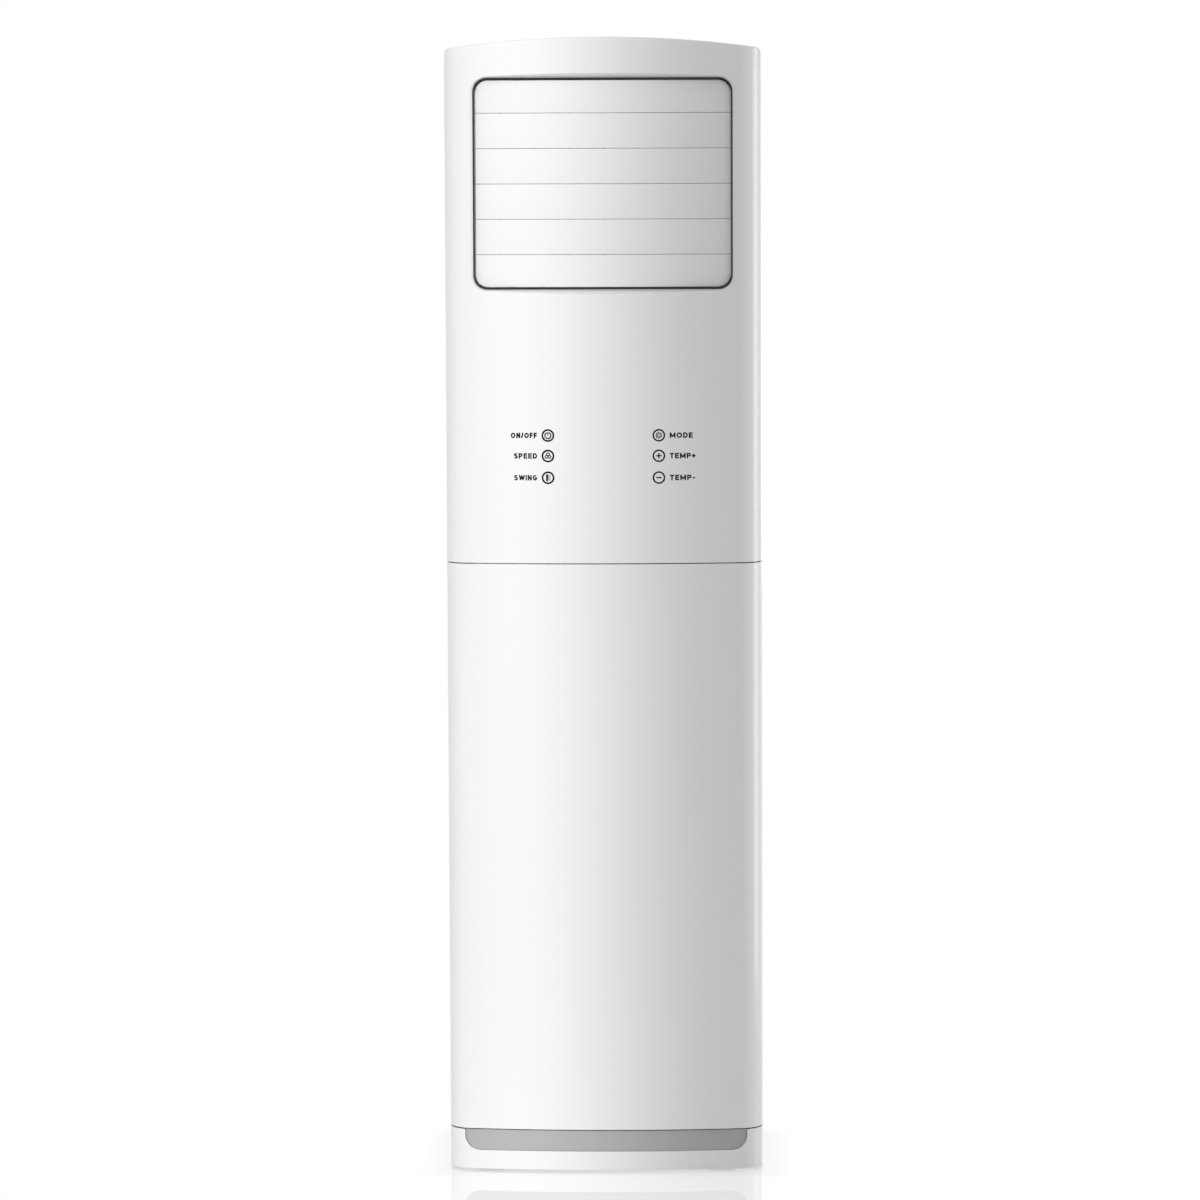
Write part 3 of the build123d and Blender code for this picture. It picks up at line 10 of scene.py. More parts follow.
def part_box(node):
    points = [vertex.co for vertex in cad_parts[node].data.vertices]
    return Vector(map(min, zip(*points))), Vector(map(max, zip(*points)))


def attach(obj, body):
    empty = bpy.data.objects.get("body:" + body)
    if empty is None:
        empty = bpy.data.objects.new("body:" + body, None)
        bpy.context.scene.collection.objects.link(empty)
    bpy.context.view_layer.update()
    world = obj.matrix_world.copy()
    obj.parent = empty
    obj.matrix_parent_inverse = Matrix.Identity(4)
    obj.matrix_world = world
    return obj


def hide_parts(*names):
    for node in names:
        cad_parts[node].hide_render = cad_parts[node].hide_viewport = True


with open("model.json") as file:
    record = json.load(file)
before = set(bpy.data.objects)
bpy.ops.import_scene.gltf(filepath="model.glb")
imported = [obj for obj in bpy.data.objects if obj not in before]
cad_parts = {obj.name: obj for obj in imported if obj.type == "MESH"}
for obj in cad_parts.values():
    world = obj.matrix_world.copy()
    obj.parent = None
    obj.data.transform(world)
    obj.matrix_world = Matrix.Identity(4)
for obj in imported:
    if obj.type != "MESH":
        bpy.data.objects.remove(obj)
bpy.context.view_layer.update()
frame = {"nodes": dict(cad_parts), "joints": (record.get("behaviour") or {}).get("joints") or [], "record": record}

# Floor standing air conditioner: white moulded front with a slatted outlet window, a door
# below it, a plinth with a grey kick strip, and steel sides. Metres, front towards -Y.

# ---- Cabinet, as in the part's source ----
HALF_WIDTH = 0.25
FRONT = -0.16
REAR = 0.16
HEIGHT = 1.8
BULGE = 1.5  # radius of the front, seen from above
CORNER = 0.04  # radius between the front and a side
REAR_CORNER = 0.006
ARCH = 1.767  # radius of the top edge, seen from the front
SHOULDER = 0.012  # radius between the top edge and a side
PLASTIC = 0.003  # wall of the mouldings
SLIT = 0.0003  # play between pieces that lie against each other
BROKEN = 0.0004  # round of a moulding's cut edges
ROUND = 0.0034  # soft edge between the front and the roof
ROOF_FRONT = -0.0523  # the roof's edge behind its seam with the front panel

WINDOW_CORNER = 0.022
DRAFT = math.radians(22.0)  # flare of the window above and below the gasket
SIDE_DRAFT = math.radians(46.0)  # flare beside it
LIP_ROUND = 0.0015
GASKET = 0.0022

BULGE_CENTRE = FRONT + BULGE
CORNER_X = HALF_WIDTH - CORNER
CORNER_Y = BULGE_CENTRE - math.sqrt((BULGE - CORNER) ** 2 - CORNER_X**2)
JOINT = math.asin(CORNER_X / (BULGE - CORNER))  # lean of the front where a corner begins
JOINT_X = BULGE * math.sin(JOINT)
FACE_X = np.linspace(-JOINT_X, JOINT_X, 41)
REAR_X = HALF_WIDTH - REAR_CORNER
REAR_Y = REAR - REAR_CORNER
ARCH_CENTRE = HEIGHT - ARCH
SHOULDER_X = HALF_WIDTH - SHOULDER
SHOULDER_Z = ARCH_CENTRE + math.sqrt((ARCH - SHOULDER) ** 2 - SHOULDER_X**2)
SHOULDER_LEAN = math.asin(SHOULDER_X / (ARCH - SHOULDER))

panel_low, panel_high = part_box("upper_front_panel")
door_low, door_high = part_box("lower_front_door")
gasket_low, gasket_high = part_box("window_gasket")
plinth_low, plinth_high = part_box("plinth")
duct_low, duct_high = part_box("outlet_duct")
pins_low, pins_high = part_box("door_hinge_pins")
cover_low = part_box("top_cover")[0]
joints = {joint["child"]: joint for joint in frame["joints"]}

WINDOW_X = gasket_high.x
WINDOW_Z = (gasket_high.z - gasket_low.z) / 2
WINDOW_MIDDLE = (gasket_high.z + gasket_low.z) / 2


# ---- Making meshes ----

WELD = 3e-6
SHARP = math.radians(35.0)


def chained(*rows):
    """Rows of values or points, one behind the other."""
    return np.concatenate(rows)


def join_grids(name, grids, inside):
    """One mesh from grids of points, each of shape (rows, columns, 3). Neighbouring rows and
    columns make quads, and grids are joined where their edge points meet. An open skin is
    turned so that its faces look away from the point inside."""
    points, quads, start = [], [], 0
    for grid in grids:
        rows, columns = grid.shape[:2]
        first = (np.arange(rows - 1)[:, None] * columns + np.arange(columns - 1)).ravel() + start
        quads.append(np.stack([first, first + 1, first + columns + 1, first + columns], axis=1))
        points.append(grid.reshape(-1, 3))
        start += rows * columns
    mesh = bpy.data.meshes.new(name)
    mesh.from_pydata(chained(*points).tolist(), [], chained(*quads).tolist())
    shape = bmesh.new()
    shape.from_mesh(mesh)
    bmesh.ops.remove_doubles(shape, verts=shape.verts, dist=WELD)
    bmesh.ops.dissolve_degenerate(shape, edges=shape.edges, dist=WELD)
    bmesh.ops.recalc_face_normals(shape, faces=shape.faces)
    if inside is not None:
        middle = Vector(inside)
        facing = sum(
            face.normal.dot(face.calc_center_median() - middle) * face.calc_area()
            for face in shape.faces
        )
        if facing < 0:
            bmesh.ops.reverse_faces(shape, faces=shape.faces)
    shape.to_mesh(mesh)
    shape.free()
    mesh.shade_smooth()
    mesh.set_sharp_from_angle(angle=SHARP)
    return mesh


def add_piece(name, grids, body="root", slot="white_moulding", stands_for=None, inside=None):
    """Joins grids into a piece of one body, in one of the finishes. It may stand for a node."""
    mesh = join_grids(name, grids, inside)
    piece = bpy.data.objects.new(name, mesh)
    bpy.context.scene.collection.objects.link(piece)
    mesh.materials.append(FINISHES[slot])
    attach(piece, body)
    if stands_for:
        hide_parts(stands_for)
    return piece


def thicken(piece, wall, edge=0.0):
    """Gives a skin its wall, inwards, and then breaks its sharp edges with a small round."""
    solid = piece.modifiers.new("wall", "SOLIDIFY")
    solid.thickness = wall
    solid.offset = -1.0
    solid.use_even_offset = True
    if edge:
        bevel = piece.modifiers.new("edge", "BEVEL")
        bevel.width = edge
        bevel.segments = 2
        bevel.limit_method = "ANGLE"
        bevel.angle_limit = math.radians(50.0)
        bevel.harden_normals = True


def steps(first, total, dense, sparse):
    """Distances from 0 to total, in dense steps over the first and last stretch."""
    start = np.linspace(0, first, dense + 1)[:-1]
    end = np.linspace(total - first, total, dense + 1)[1:]
    return chained(start, np.linspace(first, total - first, sparse + 1), end)


def xyz(x, y, z):
    """A grid of points from its three coordinates, each a number or an array."""
    return np.stack(np.broadcast_arrays(x, y, z), axis=-1).astype(float)


def turned(profile, axis, centre, around):
    """A profile of (radius, distance) pairs turned round a line along X, Y or Z (axis 0, 1 or
    2): the centre plus radius times cosine and sine, and the distance along the line."""
    profile = np.array(profile)
    turn = np.linspace(0, 2 * math.pi, around + 1)
    radius, along = profile[:, 0, None], profile[:, 1, None]
    ring = [centre[0] + radius * np.cos(turn), centre[1] + radius * np.sin(turn)]
    ring.insert(axis, along)
    return xyz(*ring)


def rounded_block(x, y, z, edge=0.0006):
    """The six faces of a block and its rounded edges: a sphere's grid whose points are drawn
    to the block's corners, corner centre plus edge times the sphere's normal."""
    turn = np.linspace(0, 2 * math.pi, 33)
    rise = np.linspace(-math.pi / 2, math.pi / 2, 17)[:, None]
    normal = xyz(np.cos(rise) * np.cos(turn), np.cos(rise) * np.sin(turn), np.sin(rise))
    strong = np.sign(np.round(normal, 6)) * np.abs(normal) ** 0.2
    strong /= np.abs(strong).max(axis=-1, keepdims=True)
    low, high = np.transpose([x, y, z])
    return (low + high) / 2 + strong * ((high - low) / 2 - edge) + normal * edge


# ---- The cabinet's form ----

SIDE_STEPS = 4
CORNER_STEPS = 12
REAR_CORNER_STEPS = 6


def both_sides(left, middle, sign=1):
    """Values from the left side over the middle to the right side, where the left side's come
    again from its other end, times sign."""
    return chained(left, middle, sign * left[::-1])


def front_plan(side_y, side_steps, face_x):
    """The plan's columns from the left side round the front to the right side. A column is a
    centre, a radius and an outward normal: the point drawn in by i is centre + (radius - i)
    times normal. The front is an arc of radius BULGE, the corners arcs of radius CORNER, and
    the sides run straight back to side_y."""
    side = np.linspace(side_y, CORNER_Y, side_steps + 1)[:-1]
    turn = np.linspace(math.pi / 2, JOINT, CORNER_STEPS + 1)[:-1]
    lean = np.arcsin(face_x / BULGE)
    angle = both_sides(-chained(np.full(side_steps, math.pi / 2), turn), lean, -1)
    left_y = chained(side, np.full(CORNER_STEPS, CORNER_Y))
    beside, before = np.ones(len(left_y)), np.ones(len(lean))
    centre_x = both_sides(-CORNER_X * beside, 0 * before, -1)
    centre_y = both_sides(left_y, BULGE_CENTRE * before)
    radius = both_sides(CORNER * beside, BULGE * before)
    return centre_x, centre_y, radius, np.sin(angle), -np.cos(angle)


def rear_plan(side_y, side_steps, rear_steps):
    """The same kind of columns from the left side round the rear to the right side: straight
    sides, corners of radius REAR_CORNER and a flat rear, whose columns follow a sine so that
    they are dense near the corners."""
    side = np.linspace(side_y, REAR_Y, side_steps + 1)[:-1]
    turn = np.linspace(math.pi / 2, 0, REAR_CORNER_STEPS + 1)
    left = -chained(np.full(side_steps, math.pi / 2), turn)
    flat = REAR_X * np.sin(np.linspace(-math.pi / 2, math.pi / 2, rear_steps + 1))[1:-1]
    angle = both_sides(left, 0 * flat, -1)
    centre_x = both_sides(np.full(len(left), -REAR_X), flat, -1)
    centre_y = both_sides(side, np.full(2 * len(turn) + len(flat), REAR_Y))
    return centre_x, centre_y, np.full(len(angle), REAR_CORNER), np.sin(angle), np.cos(angle)


def wall_point(plan, inset=0.0):
    """X and Y of the plan's columns, drawn in by inset."""
    centre_x, centre_y, radius, normal_x, normal_y = plan
    return centre_x + (radius - inset) * normal_x, centre_y + (radius - inset) * normal_y


def face_y(x, inset=0.0):
    """Y of the front at x: the bulge's arc, and beyond its joint the corner's arc."""
    away = np.abs(x)
    on_bulge = away <= (BULGE - inset) * math.sin(JOINT)
    bulge = BULGE_CENTRE - np.sqrt((BULGE - inset) ** 2 - away**2)
    past = np.maximum(away - CORNER_X, 0)
    corner = CORNER_Y - np.sqrt(np.maximum((CORNER - inset) ** 2 - past**2, 0))
    return np.where(on_bulge, bulge, corner)


def arch_at(x, inset):
    """Height and normal (X, Z) of the roof at x: the arc of radius ARCH and, at its ends, the
    shoulder's arc, both drawn in by inset."""
    away = np.abs(x)
    on_arch = away <= (ARCH - inset) * math.sin(SHOULDER_LEAN)
    past = np.clip((away - SHOULDER_X) / (SHOULDER - inset), 0, 1)
    lean = np.where(on_arch, away / (ARCH - inset), past)
    up = np.sqrt(1 - lean**2)
    arch = ARCH_CENTRE + (ARCH - inset) * up
    height = np.where(on_arch, arch, SHOULDER_Z + (SHOULDER - inset) * up)
    return height, np.sign(x) * lean, up


def under_arch(plan, side_steps, low, rows, edge_y):
    """The wall between the height low and the roof, the round that joins them and the roof
    back to edge_y. The round's points are the crease of both forms drawn in by ROUND, plus
    ROUND times the turning mean of their normals. The straight sides' columns, side_steps at
    each end, have the wall alone."""
    x, y = wall_point(plan)
    crease_x, crease_y = wall_point(plan, ROUND)
    crease_z, roof_x, roof_z = arch_at(crease_x, ROUND)
    share = np.linspace(0, 1, rows + 1)[:, None]
    wall = xyz(x, y, low + share * (crease_z - low))
    part = slice(side_steps, len(x) - side_steps)
    turn = np.linspace(0, math.pi / 2, 6)[:, None, None]
    away = xyz(plan[3][part], plan[4][part], 0)
    upward = xyz(roof_x[part], 0, roof_z[part])
    mean = np.cos(turn) * away + np.sin(turn) * upward
    mean /= np.linalg.norm(mean, axis=-1, keepdims=True)
    crease = xyz(crease_x[part], crease_y[part], crease_z[part])
    start = crease + ROUND * upward
    run = np.linspace(0, 1, side_steps + 1)[:, None]
    roof = xyz(start[:, 0], start[:, 1] + run * (edge_y - start[:, 1]), start[:, 2])
    return [wall, crease + ROUND * mean, roof]


# ---- Outlines in the front ----
# An outline is X and Z of its points and X and Z of their outward normals.

DENSE = 7
SPARSE_X = 22
SPARSE_Z = 18


def rounded_side(half_long, half_short, along):
    """One side of the window's rounded rectangle with the half corners at its ends, as if it
    were the top: points and normals at the distances along."""
    quarter = WINDOW_CORNER * math.pi / 4
    straight = 2 * (half_long - WINDOW_CORNER)
    past = np.maximum(along - quarter - straight, 0)
    before = 0.75 * math.pi - along / WINDOW_CORNER
    angle = np.where(along < quarter, before, math.pi / 2 - past / WINDOW_CORNER)
    middle = np.clip(along - quarter, 0, straight) - straight / 2
    over, out = np.cos(angle), np.sin(angle)
    rise = half_short - WINDOW_CORNER + WINDOW_CORNER * out
    return middle + WINDOW_CORNER * over, rise, over, out


def window_outline():
    """The gasket's outer outline, clockwise from the top left."""
    quarter = WINDOW_CORNER * math.pi / 4
    sides = []
    halves = ((WINDOW_X, WINDOW_Z, SPARSE_X), (WINDOW_Z, WINDOW_X, SPARSE_Z))
    for half_long, half_short, sparse in halves:
        along = steps(quarter, 2 * (half_long - WINDOW_CORNER) + 2 * quarter, DENSE, sparse)
        sides.append([row[:-1] for row in rounded_side(half_long, half_short, along)])
    rows = []
    for first in (0, 2):
        (top_over, top_out), (side_over, side_out) = (side[first : first + 2] for side in sides)
        rows.append(chained(top_over, side_out, -top_over, -side_out))
        rows.append(chained(top_out, -side_over, -top_out, side_over))
    x, z, normal_x, normal_z = (np.append(row, row[0]) for row in rows)
    return x, z + WINDOW_MIDDLE, normal_x, normal_z


def grown(outline, grow, y=None):
    """An outline's points moved out by grow along their normals, at the depth y or, without
    one, on the front."""
    x, z, normal_x, normal_z = outline
    across = x + grow * normal_x
    return xyz(across, face_y(across) if y is None else y, z + grow * normal_z)


def curved_lip(start, middle, end, shares):
    """Rows along the quadratic curve from start to end that leans towards middle."""
    return [
        (1 - share) ** 2 * start + 2 * share * (1 - share) * middle + share**2 * end
        for share in shares
    ]


def carried_out(start, edge_x, edge_z, count):
    """Rows over the front, from the row start to an edge, in equal shares of the way."""
    rows = []
    for share in np.linspace(0, 1, count + 1)[1:]:
        across = (1 - share) * start[:, 0] + share * edge_x
        rows.append(xyz(across, face_y(across), (1 - share) * start[:, 2] + share * edge_z))
    return rows


# ---- Front panel, door and roof ----

RING_EDGE = 0.024
RING_BELOW = 0.03
RING_ABOVE = 0.022
CLIP_WIDE, CLIP_DEEP, CLIP_HIGH = 0.012, 0.027, 0.02
CLIP_BITE = 0.0005  # how far a clip goes into the wall
POST_IN = 0.008  # the touch board's posts, in from its edges
PIN = 0.0025
KNUCKLE = 0.005
LUG_X, LUG_Y, LUG_HIGH = (0.225, 0.2472), (-0.0653, -0.0593), 0.024
TONGUE_WALL = 0.0022
TONGUE_FRONT = -0.049


def window_ring(z_low, z_high):
    """The front round the window. Each of the outline's points goes straight back past the
    gasket, flares out to the bulge by DRAFT, or by SIDE_DRAFT where the outline is upright,
    turns over a curved lip whose middle point is the crossing of flare and bulge, and runs
    over the bulge to the ring's rectangle."""
    outline = window_outline()
    x, _, normal_x, _ = outline
    draft = DRAFT + (SIDE_DRAFT - DRAFT) * normal_x**2
    grow = np.zeros_like(x)
    for _ in range(30):
        grow = (gasket_low.y - face_y(x + grow * normal_x)) * np.tan(draft)
    back = np.minimum(LIP_ROUND, 0.6 * (grow / np.sin(draft)))
    lip_in = grow - back * np.sin(draft)
    rows = [grown(outline, SLIT, gasket_high.y), grown(outline, SLIT, gasket_low.y)]
    start = grown(outline, lip_in, gasket_low.y - lip_in / np.tan(draft))
    end = grown(outline, grow + back)
    rows += curved_lip(start, grown(outline, grow), end, np.linspace(0, 1, 6))
    ring_x = steps(RING_EDGE, 2 * JOINT_X, DENSE, SPARSE_X) - JOINT_X
    ring_z = steps(RING_EDGE, z_high - z_low, DENSE, SPARSE_Z)
    over, up = np.ones(len(ring_x) - 1), np.ones(len(ring_z) - 1)
    edge_x = chained(ring_x[:-1], JOINT_X * up, -ring_x[:-1], -JOINT_X * up, [-JOINT_X])
    edge_z = chained(z_high * over, z_high - ring_z[:-1], z_low * over, z_low + ring_z)
    rows += carried_out(end, edge_x, edge_z, 6)
    return np.stack(rows), ring_x, z_low + ring_z


def front_panel():
    """Moulded shell from the door's top edge to the roof, with the flared window."""
    z_low = WINDOW_MIDDLE - WINDOW_Z - RING_BELOW
    z_high = WINDOW_MIDDLE + WINDOW_Z + RING_ABOVE
    ring, face_x, ring_z = window_ring(z_low, z_high)
    plan = front_plan(panel_high.y, SIDE_STEPS, face_x)
    grids = under_arch(plan, SIDE_STEPS, z_high, 4, panel_high.y)
    x, y = wall_point(plan)
    grids.append(xyz(x, y, np.linspace(panel_low.z, z_low, 10)[:, None]))
    beside = SIDE_STEPS + CORNER_STEPS + 1
    for part in (slice(0, beside), slice(-beside, None)):
        grids.append(xyz(x[part], y[part], ring_z[:, None]))
    grids.append(ring)
    piece = add_piece("front_panel", grids, stands_for="upper_front_panel", inside=(0, 0, 1.4))
    thicken(piece, PLASTIC, BROKEN)


def panel_fittings():
    """What the shell carries inside: side clips, the touch board's posts and the upper hinge
    knuckle."""
    wall_x = HALF_WIDTH - PLASTIC
    low, high = panel_low.z + 0.056, HEIGHT - 0.1
    blocks = []
    for z in (low, (low + high) / 2, high):
        for hand in (-1, 1):
            x = sorted((hand * (wall_x - CLIP_WIDE), hand * (wall_x + CLIP_BITE)))
            y = (panel_high.y - CLIP_DEEP, panel_high.y)
            blocks.append(rounded_block(x, y, (z, z + CLIP_HIGH)))
    add_piece("panel_clips", blocks)
    low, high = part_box("touch_board")
    posts = []
    for x in (low.x + POST_IN, high.x - POST_IN):
        start = float(face_y(x, PLASTIC)) - 0.001
        profile = [(0, start), (0.0044, start), (0.004, start + 0.0012)]
        profile += [(0.004, low.y - 0.0003), (0.0037, low.y), (0, low.y)]
        posts += [turned(profile, 1, (x, z), 24) for z in (low.z + POST_IN, high.z - POST_IN)]
    add_piece("touch_posts", posts)
    foot = panel_low.z
    profile = [(0, foot + 0.014), (PIN, foot + 0.014), (PIN, foot), (0.0046, foot)]
    profile += [(KNUCKLE, foot + 0.0004), (KNUCKLE, foot + 0.0194), (0.0044, foot + 0.02)]
    profile += [(0, foot + 0.02)]
    centre = (-HALF_WIDTH + KNUCKLE, pins_high.y - PIN)
    add_piece("panel_knuckle", [turned(profile, 2, centre, 28)])


def door():
    """Bulged door: the plan's columns carried up, with the hinge knuckle along its left edge
    and the lugs for the catches along its right one."""
    left_y = pins_low.y + PIN
    x, y = wall_point(front_plan(panel_high.y, SIDE_STEPS, FACE_X))
    y[: SIDE_STEPS + 1] = np.linspace(left_y, CORNER_Y, SIDE_STEPS + 1)
    skin = xyz(x, y, np.linspace(door_low.z, door_high.z, 25)[:, None])
    piece = add_piece(
        "door_skin", [skin], "door", stands_for="lower_front_door", inside=(0, 0, 0.5)
    )
    thicken(piece, PLASTIC, BROKEN)
    foot, top = door_low.z, door_high.z
    profile = [(0.0026, foot + 0.0006), (0.0042, foot + 0.0002), (KNUCKLE, foot + 0.001)]
    profile += [(KNUCKLE, top - 0.001), (0.0042, top - 0.0002), (0.0026, top - 0.0006)]
    knuckle = turned([*profile, profile[0]], 2, (-HALF_WIDTH + KNUCKLE, left_y), 28)
    add_piece("door_knuckle", [knuckle], "door")
    low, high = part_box("door_catches")
    lugs = [rounded_block(LUG_X, LUG_Y, (z, z + LUG_HIGH)) for z in (low.z, high.z - LUG_HIGH)]
    add_piece("door_lugs", lugs, "door")


def top_cover():
    """Arched roof behind the front panel, with the tongue that goes under the panel."""
    side_steps = 8
    plan = rear_plan(ROOF_FRONT, side_steps, 36)
    grids = under_arch(plan, side_steps, cover_low.z, 3, ROOF_FRONT)
    piece = add_piece("roof_cover", grids, stands_for="top_cover", inside=(0, 0, 1.7))
    thicken(piece, PLASTIC, BROKEN)
    inset = PLASTIC + SLIT
    side_x = HALF_WIDTH - inset
    across = np.linspace(-1, 1, 41) * side_x
    height = arch_at(across, inset)[0]
    outline_x = chained([-side_x], across, [side_x])
    outline_z = chained([cover_low.z], height, [cover_low.z])
    rows = np.linspace(cover_low.y + 0.0005, TONGUE_FRONT, 4)[:, None]
    piece = add_piece("roof_tongue", [xyz(outline_x, rows, outline_z)], inside=(0, -0.06, 1.7))
    thicken(piece, TONGUE_WALL)


# ---- Plinth ----

KICK_HALF = 0.225
KICK_LOW = 0.033
KICK_CORNER = 0.024
KICK_DEPTH = 0.009
KICK_STEP = 0.004  # how far the strip lies behind the bulge
KICK_LIP = 0.0008
SKIRT_TURN = math.radians(50.0)  # where the recess's ring ends on the corners
HEM_OUT, HEM_IN, HEM_HIGH = 0.0028, 0.012, 0.003  # inward flange along the skirt's foot
POST = 0.006


def kick_outline():
    """The recess's outline from its left top down, along its bottom and up: left side and half
    corner, bottom with both half corners, right side."""
    turn = np.linspace(0, math.pi / 2, 13)
    upright = np.linspace(plinth_high.z, KICK_LOW + KICK_CORNER, 5)[:-1]
    side = np.ones(len(upright))
    turn_x = -KICK_HALF + KICK_CORNER - KICK_CORNER * np.cos(turn)
    turn_z = KICK_LOW + KICK_CORNER - KICK_CORNER * np.sin(turn)
    left_x = chained(-KICK_HALF * side, turn_x)
    left_z = chained(upright, turn_z)
    left_nx = chained(-side, -np.cos(turn))
    left_nz = chained(0 * side, -np.sin(turn))
    flat = np.linspace(turn_x[-1], -turn_x[-1], 27)[1:-1]
    level = np.ones(len(flat))
    x, z = both_sides(left_x, flat, -1), both_sides(left_z, KICK_LOW * level)
    return x, z, both_sides(left_nx, 0 * level, -1), both_sides(left_nz, -level)


def plinth():
    """Skirt with the recess in its front: the recess wall runs straight in, turns over a
    small lip and joins the bulge, which a ring carries out to the skirt's other columns. A
    flange runs round inside its foot, and a post carries the door's lower pin."""
    low, top = plinth_low.z, plinth_high.z
    outline = kick_outline()
    x = outline[0]
    start = grown(outline, 0.0, face_y(x) + KICK_LIP)
    end = grown(outline, KICK_LIP)
    rows = [grown(outline, 0.0, face_y(x, KICK_DEPTH)), start]
    rows += curved_lip(start, grown(outline, 0.0), end, (0.33, 0.67, 1.0))
    reach = CORNER_X + CORNER * math.sin(SKIRT_TURN)
    side = 10
    ring_z = np.linspace(top, low, side + 1)
    ring_x = np.linspace(-reach, reach, len(x) - 2 * side)
    edge_x = both_sides(np.full(side, -reach), ring_x, -1)
    edge_z = both_sides(ring_z[:-1], np.full(len(ring_x), low))
    rows += carried_out(end, edge_x, edge_z, 5)
    turn = np.linspace(SKIRT_TURN, math.pi / 2, 8)
    rear_turn = np.linspace(math.pi / 2, 0, REAR_CORNER_STEPS + 1)
    side_y = np.linspace(CORNER_Y, REAR_Y, 9)[1:-1]
    side_x = np.full(len(side_y), HALF_WIDTH)
    rear_x = REAR_X + REAR_CORNER * np.sin(rear_turn)
    rear_y = REAR_Y + REAR_CORNER * np.cos(rear_turn)
    plan_x = chained(CORNER_X + CORNER * np.sin(turn), side_x, rear_x, [0.0])
    plan_y = chained(CORNER_Y - CORNER * np.cos(turn), side_y, rear_y, [REAR])
    grids = [np.stack(rows)]
    grids += [xyz(hand * plan_x, plan_y, ring_z[:, None]) for hand in (-1, 1)]
    piece = add_piece("plinth_skirt", grids, stands_for="plinth", inside=(0, 0, 0.03))
    thicken(piece, PLASTIC, 0.0003)
    front = front_plan(CORNER_Y, 1, FACE_X)
    rear = rear_plan(CORNER_Y, 1, 2)
    hem = low + HEM_HIGH
    rows = []
    for inset, z in ((HEM_OUT, low), (HEM_IN, low), (HEM_IN, hem), (HEM_OUT, hem)):
        front_x, front_y = wall_point(front, inset)
        rear_x, rear_y = wall_point(rear, min(inset, REAR_CORNER - 0.0005))
        pull = max(inset - REAR_CORNER + 0.0005, 0)
        rear_x, rear_y = rear_x - np.sign(rear_x) * pull, rear_y - pull
        rows.append(xyz(np.append(front_x, rear_x[::-1]), np.append(front_y, rear_y[::-1]), z))
    add_piece("plinth_lip", [np.stack([*rows, rows[0]])])
    post = [(0, top), (POST, top), (POST, top - 0.018), (0, top - 0.018)]
    centre = (-HALF_WIDTH + 0.0075, panel_high.y - 0.005)
    add_piece("plinth_post", [turned(post, 2, centre, 28)])


def kick_strip():
    """Grey strip in the recess: rows as wide as the outline at their height, bent with the
    front's bulge and set back by KICK_STEP."""
    low, corner, half = KICK_LOW + SLIT, KICK_CORNER - SLIT, KICK_HALF - SLIT
    turn = np.linspace(0, math.pi / 2, 15)[1:]
    upright = np.linspace(plinth_high.z, low + corner, 5)
    width = chained(np.full(5, half), half - corner + corner * np.cos(turn))[:, None]
    height = chained(upright, low + corner - corner * np.sin(turn))[:, None]
    across = width * np.linspace(-1, 1, 61)
    grid = xyz(across, face_y(across, KICK_STEP), height)
    piece = add_piece(
        "kick_strip", [grid], slot="grey_moulding", stands_for="plinth_insert",
        inside=(0, 0, 0.045),
    )
    thicken(piece, KICK_DEPTH - KICK_STEP, 0.0006)


# ---- Outlet window ----

SLAT_BOW = 3.5  # radius of the slats, seen from above
SLAT_THICK = 0.0035
SLAT_SKIRT = 0.0003  # lower edge, towards the slat below
TOP_SLAT_RISE = 0.0009  # upper edge of the top slat, towards the gasket
SLAT_HALF = duct_high.x - 0.0028
SLAT_AXIS = duct_low.y + 0.0062
SLAT_FACE = 0.005  # from the axis to the front face at a slat's ends
SLAT_CORNER = WINDOW_CORNER - GASKET - 0.001
SLAT_ROUND = 0.0009
CRANK_X = duct_high.x + 0.0005
ARM = 0.0025
THROW = 0.014  # from a slat's axis to its crank pin
BOSS = 0.0045


def gasket():
    """Rubber ring: a rounded bar's outline carried round the window's rounded rectangle."""
    turn = np.linspace(0, math.pi, 9)
    nose = GASKET / 2
    grow = chained([-GASKET, 0], -nose + nose * np.cos(turn), [-GASKET])
    round_y = gasket_low.y + nose - nose * np.sin(turn)
    deep = chained(np.full(2, gasket_high.y), round_y, [gasket_high.y])
    grid = grown(window_outline(), grow[:, None], deep[:, None])
    add_piece("window_seal", [grid], slot="black_rubber", stands_for="window_gasket")


